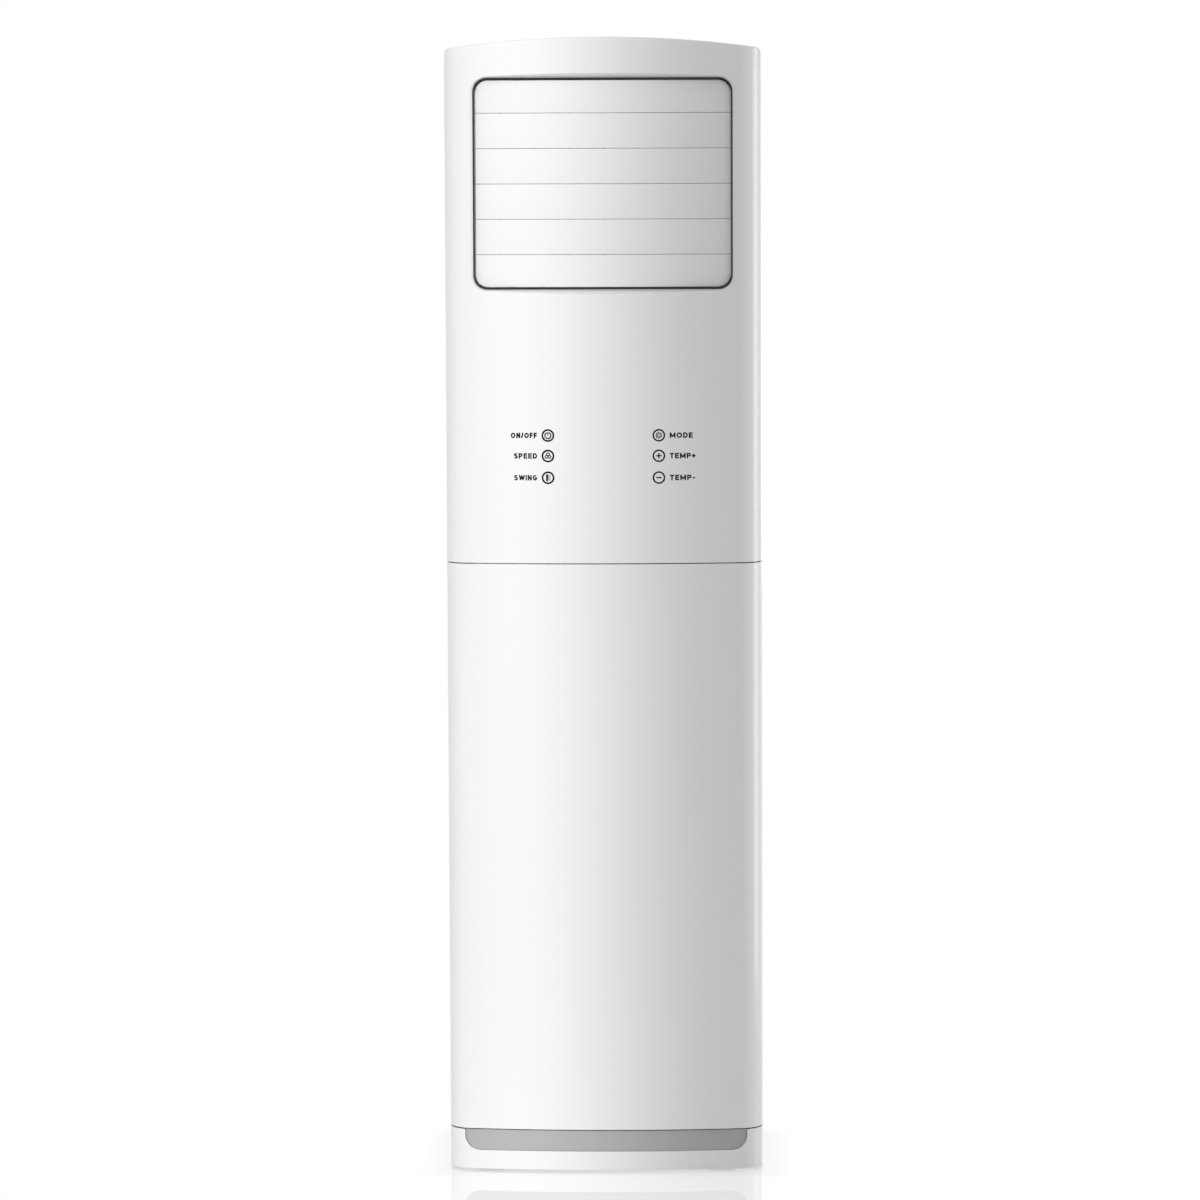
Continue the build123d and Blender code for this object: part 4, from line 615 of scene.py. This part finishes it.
def slat_bar(z_low, z_high, low_corner, high_corner):
    """A thin rounded bar's outline carried across, with its Y following an arc of radius
    SLAT_BOW. Near its ends the outline grows lower by the corners' arcs, and a cap closes it."""
    turn = np.radians([0, 20, 38, 52, 63, 72, 79, 84, 88, 90])
    bend = SLAT_HALF - SLAT_CORNER * (1 - np.sin(turn))
    middle = np.linspace(-bend[0], bend[0], 37)[1:-1]
    across = both_sides(-bend[::-1], middle, -1)
    drop = both_sides(SLAT_CORNER * (1 - np.cos(turn[::-1])), 0 * middle)
    low = z_low + drop * low_corner
    high = z_high - drop * high_corner
    bow = np.sqrt(SLAT_BOW**2 - SLAT_HALF**2) - np.sqrt(SLAT_BOW**2 - across**2)
    lean = np.linspace(0, math.pi / 2, 5)
    deep_in, rise_in = SLAT_ROUND * (1 - np.cos(lean)), SLAT_ROUND * (1 - np.sin(lean))
    deep = chained(deep_in, SLAT_THICK - deep_in[::-1])[:, None]
    rise = chained(rise_in, rise_in[::-1])[:, None]
    face = SLAT_AXIS - SLAT_FACE + bow
    upper = xyz(across, face + deep, high - rise)
    lower = xyz(across, face + deep[::-1], low + rise[::-1])
    bar = chained(upper, lower, upper[:1])
    caps = []
    for end in (0, -1):
        point = bar[:, end].mean(axis=0)
        caps.append(np.stack([bar[:, end], np.broadcast_to(point, bar[:, end].shape)], axis=1))
    return [bar, *caps]


def slat(number):
    """One slat, with its bosses, pins and crank."""
    blade = f"slat_{number}"
    low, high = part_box(blade)
    z = joints[blade]["pos_m"][2]
    foot = low.z - SLAT_SKIRT * (number > 1)
    crest = high.z + TOP_SLAT_RISE * (number == 6)
    grids = slat_bar(foot, crest, number == 1, number == 6)
    add_piece(f"louvre_{number}", grids, blade, "white_slat", stands_for=blade)
    boss_in, boss_out = SLAT_HALF - 0.005, SLAT_HALF - 0.0002
    arm_end = CRANK_X + ARM
    left_pin = [(0, low.x), (0.0022, low.x), (PIN, low.x + 0.0004), (PIN, -boss_out)]
    left_pin += [(0.0042, -boss_out), (BOSS, -boss_out + 0.0004), (BOSS, -boss_in), (0, -boss_in)]
    right_pin = [(0, boss_in), (BOSS, boss_in), (BOSS, boss_out - 0.0004), (0.0042, boss_out)]
    right_pin += [(PIN, boss_out), (PIN, arm_end), (0, arm_end)]
    crank_pin = [(0, arm_end), (0.002, arm_end), (0.002, high.x - 0.0004)]
    crank_pin += [(0.0016, high.x), (0, high.x)]
    turn = np.linspace(0, math.pi, 13)
    arm_y = chained(-BOSS * np.sin(turn), THROW + BOSS * np.sin(turn), [0])
    arm_z = chained(BOSS * np.cos(turn), -BOSS * np.cos(turn), [BOSS])
    shrink = np.array([0, 1, 1, 0])[:, None]
    arm_x = np.array([CRANK_X, CRANK_X, arm_end, arm_end])[:, None]
    arm = xyz(arm_x, SLAT_AXIS + THROW / 2 + shrink * (arm_y - THROW / 2), z + shrink * arm_z)
    fittings = [turned(pin, 0, (SLAT_AXIS, z), 24) for pin in (left_pin, right_pin)]
    fittings += [turned(crank_pin, 0, (SLAT_AXIS + THROW, z), 20), arm]
    add_piece(f"louvre_{number}_pins", fittings, blade, "white_slat")


# ---- Printed keys ----

KEY_X = 0.0873
KEY_HEIGHTS = (1.1762, 1.1439, 1.1095)
PRINT_LIFT = 0.00008
KEY_RADIUS = 0.0087
KEY_TO_WORD = 0.0172
CAPITAL = 0.0086
LETTER_LINE = 0.0022
LETTER_GAP = 0.17  # share of a capital's height


def stroke(path, width, z_middle, x_middle):
    """A flat ribbon of the given width along a path in X and Z, laid on the bulge."""
    path = np.array(path, float)
    run = np.gradient(path, axis=0)
    if np.allclose(path[0], path[-1]):
        run[0] = run[-1] = path[1] - path[-2]
    run /= np.linalg.norm(run, axis=1, keepdims=True)
    aside = np.stack([-run[:, 1], run[:, 0]], axis=1) * width / 2
    sides = np.stack([path - aside, path + aside], axis=1)
    x = sides[..., 0] + x_middle
    return xyz(x, face_y(x) - PRINT_LIFT, sides[..., 1] + z_middle)


def oval(x, z, half_x, half_z, start=0.0, stop=360.0, count=41):
    """Points of an oval's arc round (x, z), angles in degrees from the right, anticlockwise."""
    turn = np.radians(np.linspace(start, stop, count))
    return np.stack([x + half_x * np.cos(turn), z + half_z * np.sin(turn)], axis=1)


def bowl(x, low, high):
    """A letter's bowl: out from the left edge, round a half oval and back."""
    half = (high - low) / 2
    return chained([(0, high)], oval(x, low + half, 1 - x, half, 90, -90, 21), [(0, low)])


# Each capital: its width for a height of 1, and its strokes in a box of 1 by 1.
LEFT, TOP, FOOT = [(0, 0), (0, 1)], [(0, 1), (1, 1)], [(0, 0), (1, 0)]
RIGHT, MIDDLE = [(1, 0), (1, 1)], [(0.5, 0), (0.5, 1)]
CAPITALS = {
    "O": (0.92, [oval(0.5, 0.5, 0.5, 0.5)]),
    "N": (0.78, [LEFT, [(0, 1), (1, 0)], RIGHT]),
    "/": (0.46, [[(-0.1, -0.17), (1.1, 1.17)]]),
    "F": (0.64, [LEFT, TOP, [(0, 0.5), (0.85, 0.5)]]),
    "S": (0.7, [oval(0.5, 0.76, 0.5, 0.24, 25, 270, 21), oval(0.5, 0.26, 0.5, 0.26, 90, -155, 21)]),
    "P": (0.72, [LEFT, bowl(0.5, 0.43, 1)]),
    "E": (0.66, [LEFT, TOP, FOOT, [(0, 0.5), (0.88, 0.5)]]),
    "D": (0.78, [LEFT, bowl(0.4, 0, 1)]),
    "W": (
        1.14,
        [[(-0.03, 1.15), (0.26, -0.1)], [(0.24, -0.1), (0.5, 1.08)]]
        + [[(0.5, 1.08), (0.76, -0.1)], [(0.74, -0.1), (1.03, 1.15)]],
    ),
    "I": (0.2, [MIDDLE]),
    "G": (0.86, [oval(0.5, 0.5, 0.5, 0.5, 45, 352, 33), [(0.62, 0.44), (1, 0.44)]]),
    "M": (0.96, [LEFT, [(0, 1), (0.5, 0.1)], [(0.5, 0.1), (1, 1)], RIGHT]),
    "T": (0.7, [TOP, MIDDLE]),
    "+": (0.62, [[(0, 0.46), (1, 0.46)], [(0.5, 0.16), (0.5, 0.76)]]),
    "-": (0.4, [[(0, 0.4), (1, 0.4)]]),
}

# The signs: paths round the key's middle, each with its line's width.
POWER = [(oval(0, 0, 0.0047, 0.0047, 112, 428), 0.0019), ([(0, 0), (0, 0.0055)], 0.0019)]
SPEED = [
    (oval(0.0027 * math.cos(turn), 0.0027 * math.sin(turn), 0.0022, 0.0022), 0.0016)
    for turn in (0.5 * math.pi, 1.17 * math.pi, 1.83 * math.pi)
]
SWING = [
    ([(-0.0016, -0.0054), (-0.0016, 0.0054)], 0.0034),
    ([(0.0012, -0.0052), (0.0012, 0.0052)], 0.0008),
    ([(0.0032, -0.0046), (0.0032, 0.0046)], 0.0008),
]
MODE = [(oval(0, 0, 0.0045, 0.0045, 0, 360, 9), 0.0013), (oval(0, 0, 0.0024, 0.0024), 0.0011)]
COOLER = [([(-0.0043, 0), (0.0043, 0)], 0.002)]
WARMER = [*COOLER, ([(0, -0.0043), (0, 0.0043)], 0.002)]

# Each key: its word, the word's width, the ring's line and the sign. Three down the left
# side, then three down the right.
KEYS = {
    "power": ("ON/OFF", 0.0413, 0.0028, POWER),
    "speed": ("SPEED", 0.0367, 0.0028, SPEED),
    "swing": ("SWING", 0.0363, 0.0028, SWING),
    "mode": ("MODE", 0.0361, 0.0025, MODE),
    "warmer": ("TEMP+", 0.0405, 0.0025, WARMER),
    "cooler": ("TEMP-", 0.0396, 0.0025, COOLER),
}


def printed_word(word, x_left, z_middle, width):
    """Ribbons of a word of capitals, fitted between x_left and x_left + width."""
    shares = [CAPITALS[capital][0] for capital in word]
    total = sum(shares) + LETTER_GAP * (len(word) - 1)
    grids, pen = [], 0.0
    for capital, share in zip(word, shares):
        wide, high = share / total * width - LETTER_LINE, CAPITAL - LETTER_LINE
        for path in CAPITALS[capital][1]:
            path = np.array(path, float) * [wide, high] + LETTER_LINE / 2
            if len(path) == 2 and np.isclose(path[0], path[1]).any():
                reach = np.sign(path[1] - path[0]) * LETTER_LINE / 2
                path = path + [-reach, reach]
            grids.append(stroke(path - [0, CAPITAL / 2], LETTER_LINE, z_middle, x_left + pen))
        pen += (share + LETTER_GAP) / total * width
    return grids


def print_keys():
    """Rings and signs of the six keys, and their words beside them."""
    for number, (name, (word, width, ring, sign)) in enumerate(KEYS.items()):
        left = number < 3
        x = -KEY_X if left else KEY_X
        z = KEY_HEIGHTS[number % 3]
        inside = (0, 0.5, z)
        grids = [stroke(oval(0, 0, KEY_RADIUS, KEY_RADIUS, count=49), ring, z, x)]
        grids += [stroke(path, line, z, x) for path, line in sign]
        add_piece(f"key_{name}", grids, slot="print_ink", inside=inside)
        edge = x - KEY_TO_WORD - width if left else x + KEY_TO_WORD
        grids = printed_word(word, edge, z, width)
        add_piece(f"word_{name}", grids, slot="print_ink", inside=inside)


# ---- Making finishes ----


def node(tree, kind, inputs={}, **settings):
    """A shader node with its settings and with its inputs linked or set."""
    made = tree.nodes.new(kind)
    for key, value in settings.items():
        setattr(made, key, value)
    for key, value in inputs.items():
        if isinstance(value, bpy.types.NodeSocket):
            tree.links.new(value, made.inputs[key])
        else:
            made.inputs[key].default_value = value
    return made


def maths(tree, operation, *values):
    """The result of one operation on numbers and sockets."""
    return node(tree, "ShaderNodeMath", dict(enumerate(values)), operation=operation).outputs[0]


def graded(tree, value, low, high, at_low, at_high):
    """Goes from at_low to at_high while the value goes from low to high."""
    inputs = {0: value, 1: low, 2: high, 3: at_low, 4: at_high}
    return node(tree, "ShaderNodeMapRange", inputs).outputs[0]


def noise(tree, place_at, scale, detail, rough=0.5):
    """Noise between 0 and 1."""
    inputs = {"Vector": place_at, "Scale": scale, "Detail": detail, "Roughness": rough}
    return node(tree, "ShaderNodeTexNoise", inputs).outputs["Fac"]


def toned(tree, mask, colour_a, colour_b):
    """A colour that goes from colour_a to colour_b by a mask."""
    inputs = {0: mask, 6: colour_a, 7: colour_b}
    return node(tree, "ShaderNodeMix", inputs, data_type="RGBA").outputs[2]


def ruled(tree, place_at, axis, pitch, width):
    """A mask of thin lines: 1 at the middle of each step of pitch along axis, over width's
    share of the step."""
    along = node(tree, "ShaderNodeSeparateXYZ", {0: place_at}).outputs[axis]
    share = maths(tree, "FRACT", maths(tree, "MULTIPLY", along, 1.0 / pitch))
    away = maths(tree, "ABSOLUTE", maths(tree, "SUBTRACT", share, 0.5))
    return graded(tree, away, width / 2, width / 2 + 0.08, 1.0, 0.0)


def effect(name, given, result):
    """An empty shader group: its tree, the sockets that it is given and its result's socket."""
    kinds = {"Place": "NodeSocketVector", "Colour": "NodeSocketColor"}
    tree = bpy.data.node_groups.new(name, "ShaderNodeTree")
    for label, side in [*((label, "INPUT") for label in given), (result, "OUTPUT")]:
        kind = kinds.get(label, "NodeSocketFloat")
        tree.interface.new_socket(label, in_out=side, socket_type=kind)
    entry = tree.nodes.new("NodeGroupInput")
    leave = tree.nodes.new("NodeGroupOutput")
    return tree, entry.outputs, leave.inputs[0]


def tone_drift():
    """Slow drift of a colour: the colour times 1 + amount * (noise - 0.5)."""
    tree, given, out = effect("tone drift", ("Place", "Colour", "Size", "Amount"), "Colour")
    slow = noise(tree, given["Place"], maths(tree, "DIVIDE", 1.0, given["Size"]), 3.0)
    swing = maths(tree, "SUBTRACT", slow, 0.5)
    swing = maths(tree, "MULTIPLY_ADD", swing, given["Amount"], 1.0)
    inputs = {0: given["Colour"], "Scale": swing}
    shade = node(tree, "ShaderNodeVectorMath", inputs, operation="SCALE")
    tree.links.new(shade.outputs[0], out)
    return tree


def fine_grain():
    """Fine skin of a moulding or a coat of paint: two sizes of noise, as a height."""
    tree, given, out = effect("fine grain", ("Place", "Size", "Soft"), "Height")
    scale = maths(tree, "DIVIDE", 1.0, given["Size"])
    coarse = noise(tree, given["Place"], scale, 2.0)
    fine = noise(tree, given["Place"], maths(tree, "MULTIPLY", scale, 5.3), 1.0)
    mixed = node(tree, "ShaderNodeMix", {0: given["Soft"], 2: fine, 3: coarse})
    tree.links.new(mixed.outputs[0], out)
    return tree


def handling():
    """Where hands and cloths have been: a soft patchy mask that changes the roughness."""
    tree, given, out = effect("handling", ("Place", "Rough", "Spread"), "Rough")
    swing = maths(tree, "SUBTRACT", noise(tree, given["Place"], 7.0, 6.0, 0.62), 0.5)
    tree.links.new(maths(tree, "MULTIPLY_ADD", swing, given["Spread"], given["Rough"]), out)
    return tree


def settled_dust():
    """Thin dust on faces that look up: the normal's Z, broken up by noise."""
    tree, given, out = effect("settled dust", ("Place", "Colour", "Amount"), "Colour")
    normal = node(tree, "ShaderNodeNewGeometry").outputs["Normal"]
    facing = node(tree, "ShaderNodeSeparateXYZ", {0: normal}).outputs["Z"]
    upward = graded(tree, facing, 0.5, 1.0, 0.0, 1.0)
    broken = maths(tree, "MULTIPLY", upward, noise(tree, given["Place"], 55.0, 4.0))
    mask = maths(tree, "MULTIPLY", broken, given["Amount"])
    tree.links.new(toned(tree, mask, given["Colour"], (0.42, 0.4, 0.37, 1.0)), out)
    return tree


EFFECTS = {make.__name__: make() for make in (tone_drift, fine_grain, handling, settled_dust)}


def grouped(tree, name, **inputs):
    """The result of one of the shared effects, placed in a material with its own values."""
    return node(tree, "ShaderNodeGroup", inputs, node_tree=EFFECTS[name]).outputs[0]


def finish(name, plain, colour, rough, drift, grain, spread, dust):
    """A finish: drifting colour, patchy roughness and a fine grain. plain holds the shader's
    constants, drift is its size and amount, and grain its size, softness and depth in metres.
    Returns the material, its nodes, the shader's sockets, the piece's places and the bump."""
    material = bpy.data.materials.new(name)
    material.use_nodes = True
    tree = material.node_tree
    principled = tree.nodes["Principled BSDF"]
    for key, value in plain.items():
        principled.inputs[key].default_value = value
    at = node(tree, "ShaderNodeTexCoord").outputs["Object"]
    colour = (*colour, 1.0)
    base = grouped(tree, "tone_drift", Place=at, Colour=colour, Size=drift[0], Amount=drift[1])
    if dust:
        base = grouped(tree, "settled_dust", Place=at, Colour=base, Amount=dust)
    tree.links.new(base, principled.inputs["Base Color"])
    worn = grouped(tree, "handling", Place=at, Rough=rough, Spread=spread)
    tree.links.new(worn, principled.inputs["Roughness"])
    skin = grouped(tree, "fine_grain", Place=at, Size=grain[0], Soft=grain[1])
    bump = node(tree, "ShaderNodeBump", {"Height": skin, "Distance": grain[2], "Strength": 1.0})
    tree.links.new(bump.outputs[0], principled.inputs["Normal"])
    return material, tree, principled.inputs, at, bump


# ---- The finishes, by their slots ----

METAL = {"Metallic": 1.0}

# Each finish: what the function finish takes, from plain to dust.
FINISH_VALUES = {
    "white_moulding": (
        {"Coat Weight": 0.25, "Coat Roughness": 0.06, "IOR": 1.46},
        (0.85, 0.85, 0.853), 0.2, (0.35, 0.012), (0.004, 0.6, 0.00001), 0.05, 0.03,
    ),
    "white_slat": (
        {"Coat Weight": 0.1, "Coat Roughness": 0.1, "IOR": 1.46},
        (0.85, 0.85, 0.853), 0.26, (0.25, 0.012), (0.003, 0.5, 0.00001), 0.05, 0.0,
    ),
    "white_sheet": (
        {"IOR": 1.5}, (0.82, 0.82, 0.82), 0.36, (0.3, 0.02), (0.0016, 0.75, 0.00004), 0.05, 0.05
    ),
    "grey_moulding": (
        {"IOR": 1.46}, (0.44, 0.44, 0.445), 0.42, (0.12, 0.03), (0.0011, 0.3, 0.00003), 0.06, 0.05
    ),
    "black_rubber": (
        {"IOR": 1.5}, (0.018, 0.018, 0.02), 0.5, (0.05, 0.2), (0.0008, 0.4, 0.00002), 0.1, 0.0
    ),
    "dark_moulding": (
        {"IOR": 1.46}, (0.05, 0.052, 0.056), 0.42, (0.1, 0.12), (0.001, 0.4, 0.00002), 0.08, 0.08
    ),
    "grey_housing": (
        {"IOR": 1.46}, (0.33, 0.34, 0.35), 0.45, (0.15, 0.06), (0.0014, 0.5, 0.00003), 0.08, 0.06
    ),
    "copper": (METAL, (0.72, 0.36, 0.22), 0.3, (0.03, 0.45), (0.0006, 0.5, 0.00001), 0.2, 0.0),
    "brass": (METAL, (0.73, 0.55, 0.24), 0.28, (0.02, 0.2), (0.0005, 0.5, 0.00001), 0.15, 0.0),
    "steel": (METAL, (0.56, 0.56, 0.57), 0.3, (0.03, 0.12), (0.0004, 0.4, 0.00001), 0.18, 0.0),
    "motor_paint": (
        {"IOR": 1.5}, (0.045, 0.047, 0.05), 0.4, (0.04, 0.15), (0.0012, 0.6, 0.00004), 0.12, 0.08
    ),
    "hose_plastic": (
        {"IOR": 1.5}, (0.62, 0.63, 0.62), 0.38, (0.06, 0.06), (0.0015, 0.4, 0.00002), 0.1, 0.03
    ),
    "can": (METAL, (0.6, 0.61, 0.62), 0.32, (0.02, 0.06), (0.0008, 0.5, 0.00001), 0.12, 0.0),
    "print_ink": (
        {"IOR": 1.2}, (0.01, 0.01, 0.011), 0.5, (0.01, 0.1), (0.0004, 0.5, 0.000004), 0.05, 0.0
    ),
    "zinc_sheet": (
        METAL, (0.55, 0.56, 0.57), 0.42, (0.1, 0.08), (0.0008, 0.5, 0.00001), 0.1, 0.04
    ),
    "foam_moulding": ({}, (0.8, 0.8, 0.79), 0.75, (0.05, 0.05), (0.001, 0.5, 0.0006), 0.05, 0.06),
    "net": ({}, (0.1, 0.11, 0.12), 0.6, (0.05, 0.2), (0.0006, 0.5, 0.0002), 0.05, 0.0),
    "aluminium_fins": (
        {}, (0.68, 0.69, 0.7), 0.34, (0.08, 0.12), (0.0008, 0.5, 0.0005), 0.1, 0.0
    ),
    "circuit_board": (
        {"IOR": 1.5}, (0.02, 0.12, 0.05), 0.3, (0.03, 0.15), (0.0006, 0.5, 0.00001), 0.05, 0.0
    ),
}


def zinc_sheet(tree, shader, at, bump):
    """Galvanised sheet: spangle cells that differ in tone and gloss."""
    cells = node(tree, "ShaderNodeTexVoronoi", {"Vector": at, "Scale": 85.0})
    parts = node(tree, "ShaderNodeSeparateXYZ", {0: cells.outputs["Color"]}).outputs
    spangle = toned(tree, parts[0], (0.5, 0.51, 0.52, 1.0), (0.62, 0.63, 0.64, 1.0))
    tree.links.new(spangle, shader["Base Color"])
    tree.links.new(graded(tree, parts[1], 0.0, 1.0, 0.3, 0.5), shader["Roughness"])


def foam_moulding(tree, shader, at, bump):
    """Bead foam: round cells as a height, and a darker colour towards each cell's border, painted shade in the
    crevices between bead cells.
    """
    cells = node(tree, "ShaderNodeTexVoronoi", {"Vector": at, "Scale": 260.0})
    away = cells.outputs["Distance"]
    tree.links.new(away, bump.inputs["Height"])
    bump.invert = True
    # Painted shade: the colour grows darker towards each round cell's border, where shade falls between them.
    beads_and_painted_crevice_shade = toned(tree, away, (0.82, 0.82, 0.81, 1.0), (0.62, 0.62, 0.6, 1.0))
    tree.links.new(beads_and_painted_crevice_shade, shader["Base Color"])


def net(tree, shader, at, bump):
    """Filter net: crossing threads, open between them."""
    across, upward = (ruled(tree, at, axis, 0.0016, 0.3) for axis in (0, 2))
    threads = maths(tree, "MAXIMUM", across, upward)
    tree.links.new(threads, shader["Alpha"])
    tree.links.new(threads, bump.inputs["Height"])


def aluminium_fins(tree, shader, at, bump):
    """Pressed fins side by side: bright edges, and dark gaps at the fins' pitch, whose near-black colour is
    painted shade between the fins.
    """
    lines = ruled(tree, at, 0, 0.0018, 0.45)
    # Painted shade: the gaps between fins get a near-black colour where shade falls, and the fins keep the metal's
    # own pale colour.
    edges = toned(tree, lines, (0.035, 0.036, 0.038, 1.0), (0.7, 0.71, 0.72, 1.0))
    tree.links.new(edges, shader["Base Color"])
    tree.links.new(lines, shader["Metallic"])
    tree.links.new(lines, bump.inputs["Height"])


def circuit_board(tree, shader, at, bump):
    """Green resist over copper tracks: the borders of square cells are the tracks."""
    inputs = {"Vector": at, "Scale": 120.0}
    cells = node(tree, "ShaderNodeTexVoronoi", inputs, distance="MANHATTAN", feature="F1")
    tracks = graded(tree, cells.outputs["Distance"], 0.45, 0.55, 0.0, 1.0)
    resist = toned(tree, tracks, (0.015, 0.11, 0.045, 1.0), (0.04, 0.2, 0.08, 1.0))
    tree.links.new(resist, shader["Base Color"])


patterned = (zinc_sheet, foam_moulding, net, aluminium_fins, circuit_board)
PATTERNS = {pattern.__name__: pattern for pattern in patterned}

FINISHES = {}
for slot, values in FINISH_VALUES.items():
    FINISHES[slot], *parts = finish(slot, *values)
    if slot in PATTERNS:
        PATTERNS[slot](*parts)

slots = {part["node"]: part["material_slot"] for part in frame["record"]["subparts"]}
for name, part in frame["nodes"].items():
    part.data.materials.clear()
    part.data.materials.append(FINISHES[slots[name]])

# ---- The pieces ----

front_panel()
panel_fittings()
door()
top_cover()
plinth()
kick_strip()
gasket()
for slat_number in range(1, 7):
    slat(slat_number)
print_keys()

# ---- Floor, light and camera ----

FLOOR_REACH = 60.0
WORLD_LEVEL = 0.6
WHITE = (1.0, 1.0, 1.0, 1.0)


def in_view(tree):
    """1 where the camera looks, directly, in gloss or through glass, and 0 for other light."""
    path = node(tree, "ShaderNodeLightPath").outputs
    direct = maths(tree, "MAXIMUM", path["Is Camera Ray"], path["Is Glossy Ray"])
    return maths(tree, "MAXIMUM", direct, path["Is Transmission Ray"])


def either(tree, share, shader_a, shader_b):
    """A shader that goes from shader_a to shader_b by a share."""
    inputs = {0: share, 1: shader_a.outputs[0], 2: shader_b.outputs[0]}
    return node(tree, "ShaderNodeMixShader", inputs)


def stage_floor():
    """Pale floor: white to the camera, faintly glossy round the cabinet's foot and with a
    trace of its shadow there. Both fade with the distance from the foot."""
    mesh = bpy.data.meshes.new("floor")
    low, high = -FLOOR_REACH, FLOOR_REACH
    corners = [(low, low, 0), (high, low, 0), (high, high, 0), (low, high, 0)]
    mesh.from_pydata(corners, [], [(0, 1, 2, 3)])
    floor = bpy.data.objects.new("floor", mesh)
    bpy.context.scene.collection.objects.link(floor)
    material = bpy.data.materials.new("floor")
    material.use_nodes = True
    tree = material.node_tree
    tree.nodes.clear()
    output = tree.nodes.new("ShaderNodeOutputMaterial")
    matt = node(tree, "ShaderNodeBsdfDiffuse", {"Color": (0.8, 0.8, 0.8, 1.0)})
    bright = node(tree, "ShaderNodeEmission", {"Color": WHITE, "Strength": 1.0})
    gloss = node(tree, "ShaderNodeBsdfGlossy", {"Color": WHITE, "Roughness": 0.04})
    away = node(tree, "ShaderNodeTexCoord").outputs["Object"]
    for operation, *others in (
        ("ABSOLUTE",),
        ("SUBTRACT", (HALF_WIDTH, REAR, 0.0)),
        ("MAXIMUM", (0.0, 0.0, 0.0)),
    ):
        inputs = dict(enumerate([away, *others]))
        away = node(tree, "ShaderNodeVectorMath", inputs, operation=operation).outputs[0]
    away = node(tree, "ShaderNodeVectorMath", {0: away}, operation="LENGTH").outputs["Value"]
    white = either(tree, graded(tree, away, 0.1, 1.0, 0.35, 0.0), bright, gloss)
    seen = either(tree, graded(tree, away, 0.0, 0.05, 0.16, 0.0), white, matt)
    final = either(tree, in_view(tree), matt, seen)
    tree.links.new(final.outputs[0], output.inputs["Surface"])
    mesh.materials.append(material)


def stage_world():
    """White to the camera and in gloss, and a plain grey light from all round."""
    world = bpy.data.worlds.new("studio")
    bpy.context.scene.world = world
    world.use_nodes = True
    tree = world.node_tree
    background = tree.nodes["Background"].inputs
    background["Color"].default_value = WHITE
    strength = graded(tree, in_view(tree), 0.0, 1.0, WORLD_LEVEL, 1.0)
    tree.links.new(strength, background["Strength"])


def softbox(name, where, towards, width, height, watts, spread):
    """An upright area lamp with a grid that narrows its beam."""
    lamp = bpy.data.lights.new(name, "AREA")
    lamp.shape = "RECTANGLE"
    lamp.size = width
    lamp.size_y = height
    lamp.energy = watts
    lamp.spread = math.radians(spread)
    holder = bpy.data.objects.new(name, lamp)
    bpy.context.scene.collection.objects.link(holder)
    holder.location = where
    holder.rotation_euler = (Vector(towards) - Vector(where)).to_track_quat("-Z", "Y").to_euler()
    holder.visible_camera = False
    return holder


def stand_camera(place, pitch, yaw, roll, lens):
    """The camera at its place: turned by yaw from straight ahead, then down by pitch, then
    round its line of sight by roll."""
    camera = bpy.data.cameras.new("camera")
    camera.lens = lens
    camera.sensor_width = 36.0
    camera.clip_end = 200.0
    viewer = bpy.data.objects.new("camera", camera)
    bpy.context.scene.collection.objects.link(viewer)
    across, ahead = math.sin(yaw) * math.cos(pitch), math.cos(yaw) * math.cos(pitch)
    look = Vector((across, ahead, -math.sin(pitch)))
    right = Vector((math.cos(yaw), -math.sin(yaw), 0))
    up = right.cross(look)
    level_right = math.cos(roll) * right + math.sin(roll) * up
    level_up = math.cos(roll) * up - math.sin(roll) * right
    turn = Matrix((level_right, level_up, -look)).transposed().to_4x4()
    viewer.matrix_world = Matrix.Translation(place) @ turn
    bpy.context.scene.camera = viewer


stage_floor()
stage_world()
key = softbox("key_left", (-0.95, -2.55, 1.3), (-0.14, -0.15, 0.93), 0.12, 2.9, 1.8, 13.5)
key.visible_glossy = False
softbox("edge_right", (1.9, 0.05, 1.0), (0.25, -0.1, 0.9), 0.9, 2.6, 2.6, 60.0)
softbox("rear_fill", (1.4, 2.8, 1.6), (0.0, 0.1, 0.9), 1.4, 2.0, 3.0, 120.0)
stand_camera((0.19862, -8.5, 1.73345), 0.097639, -0.024553, -0.003876, 159.435)
bpy.context.scene.view_settings.view_transform = "Standard"
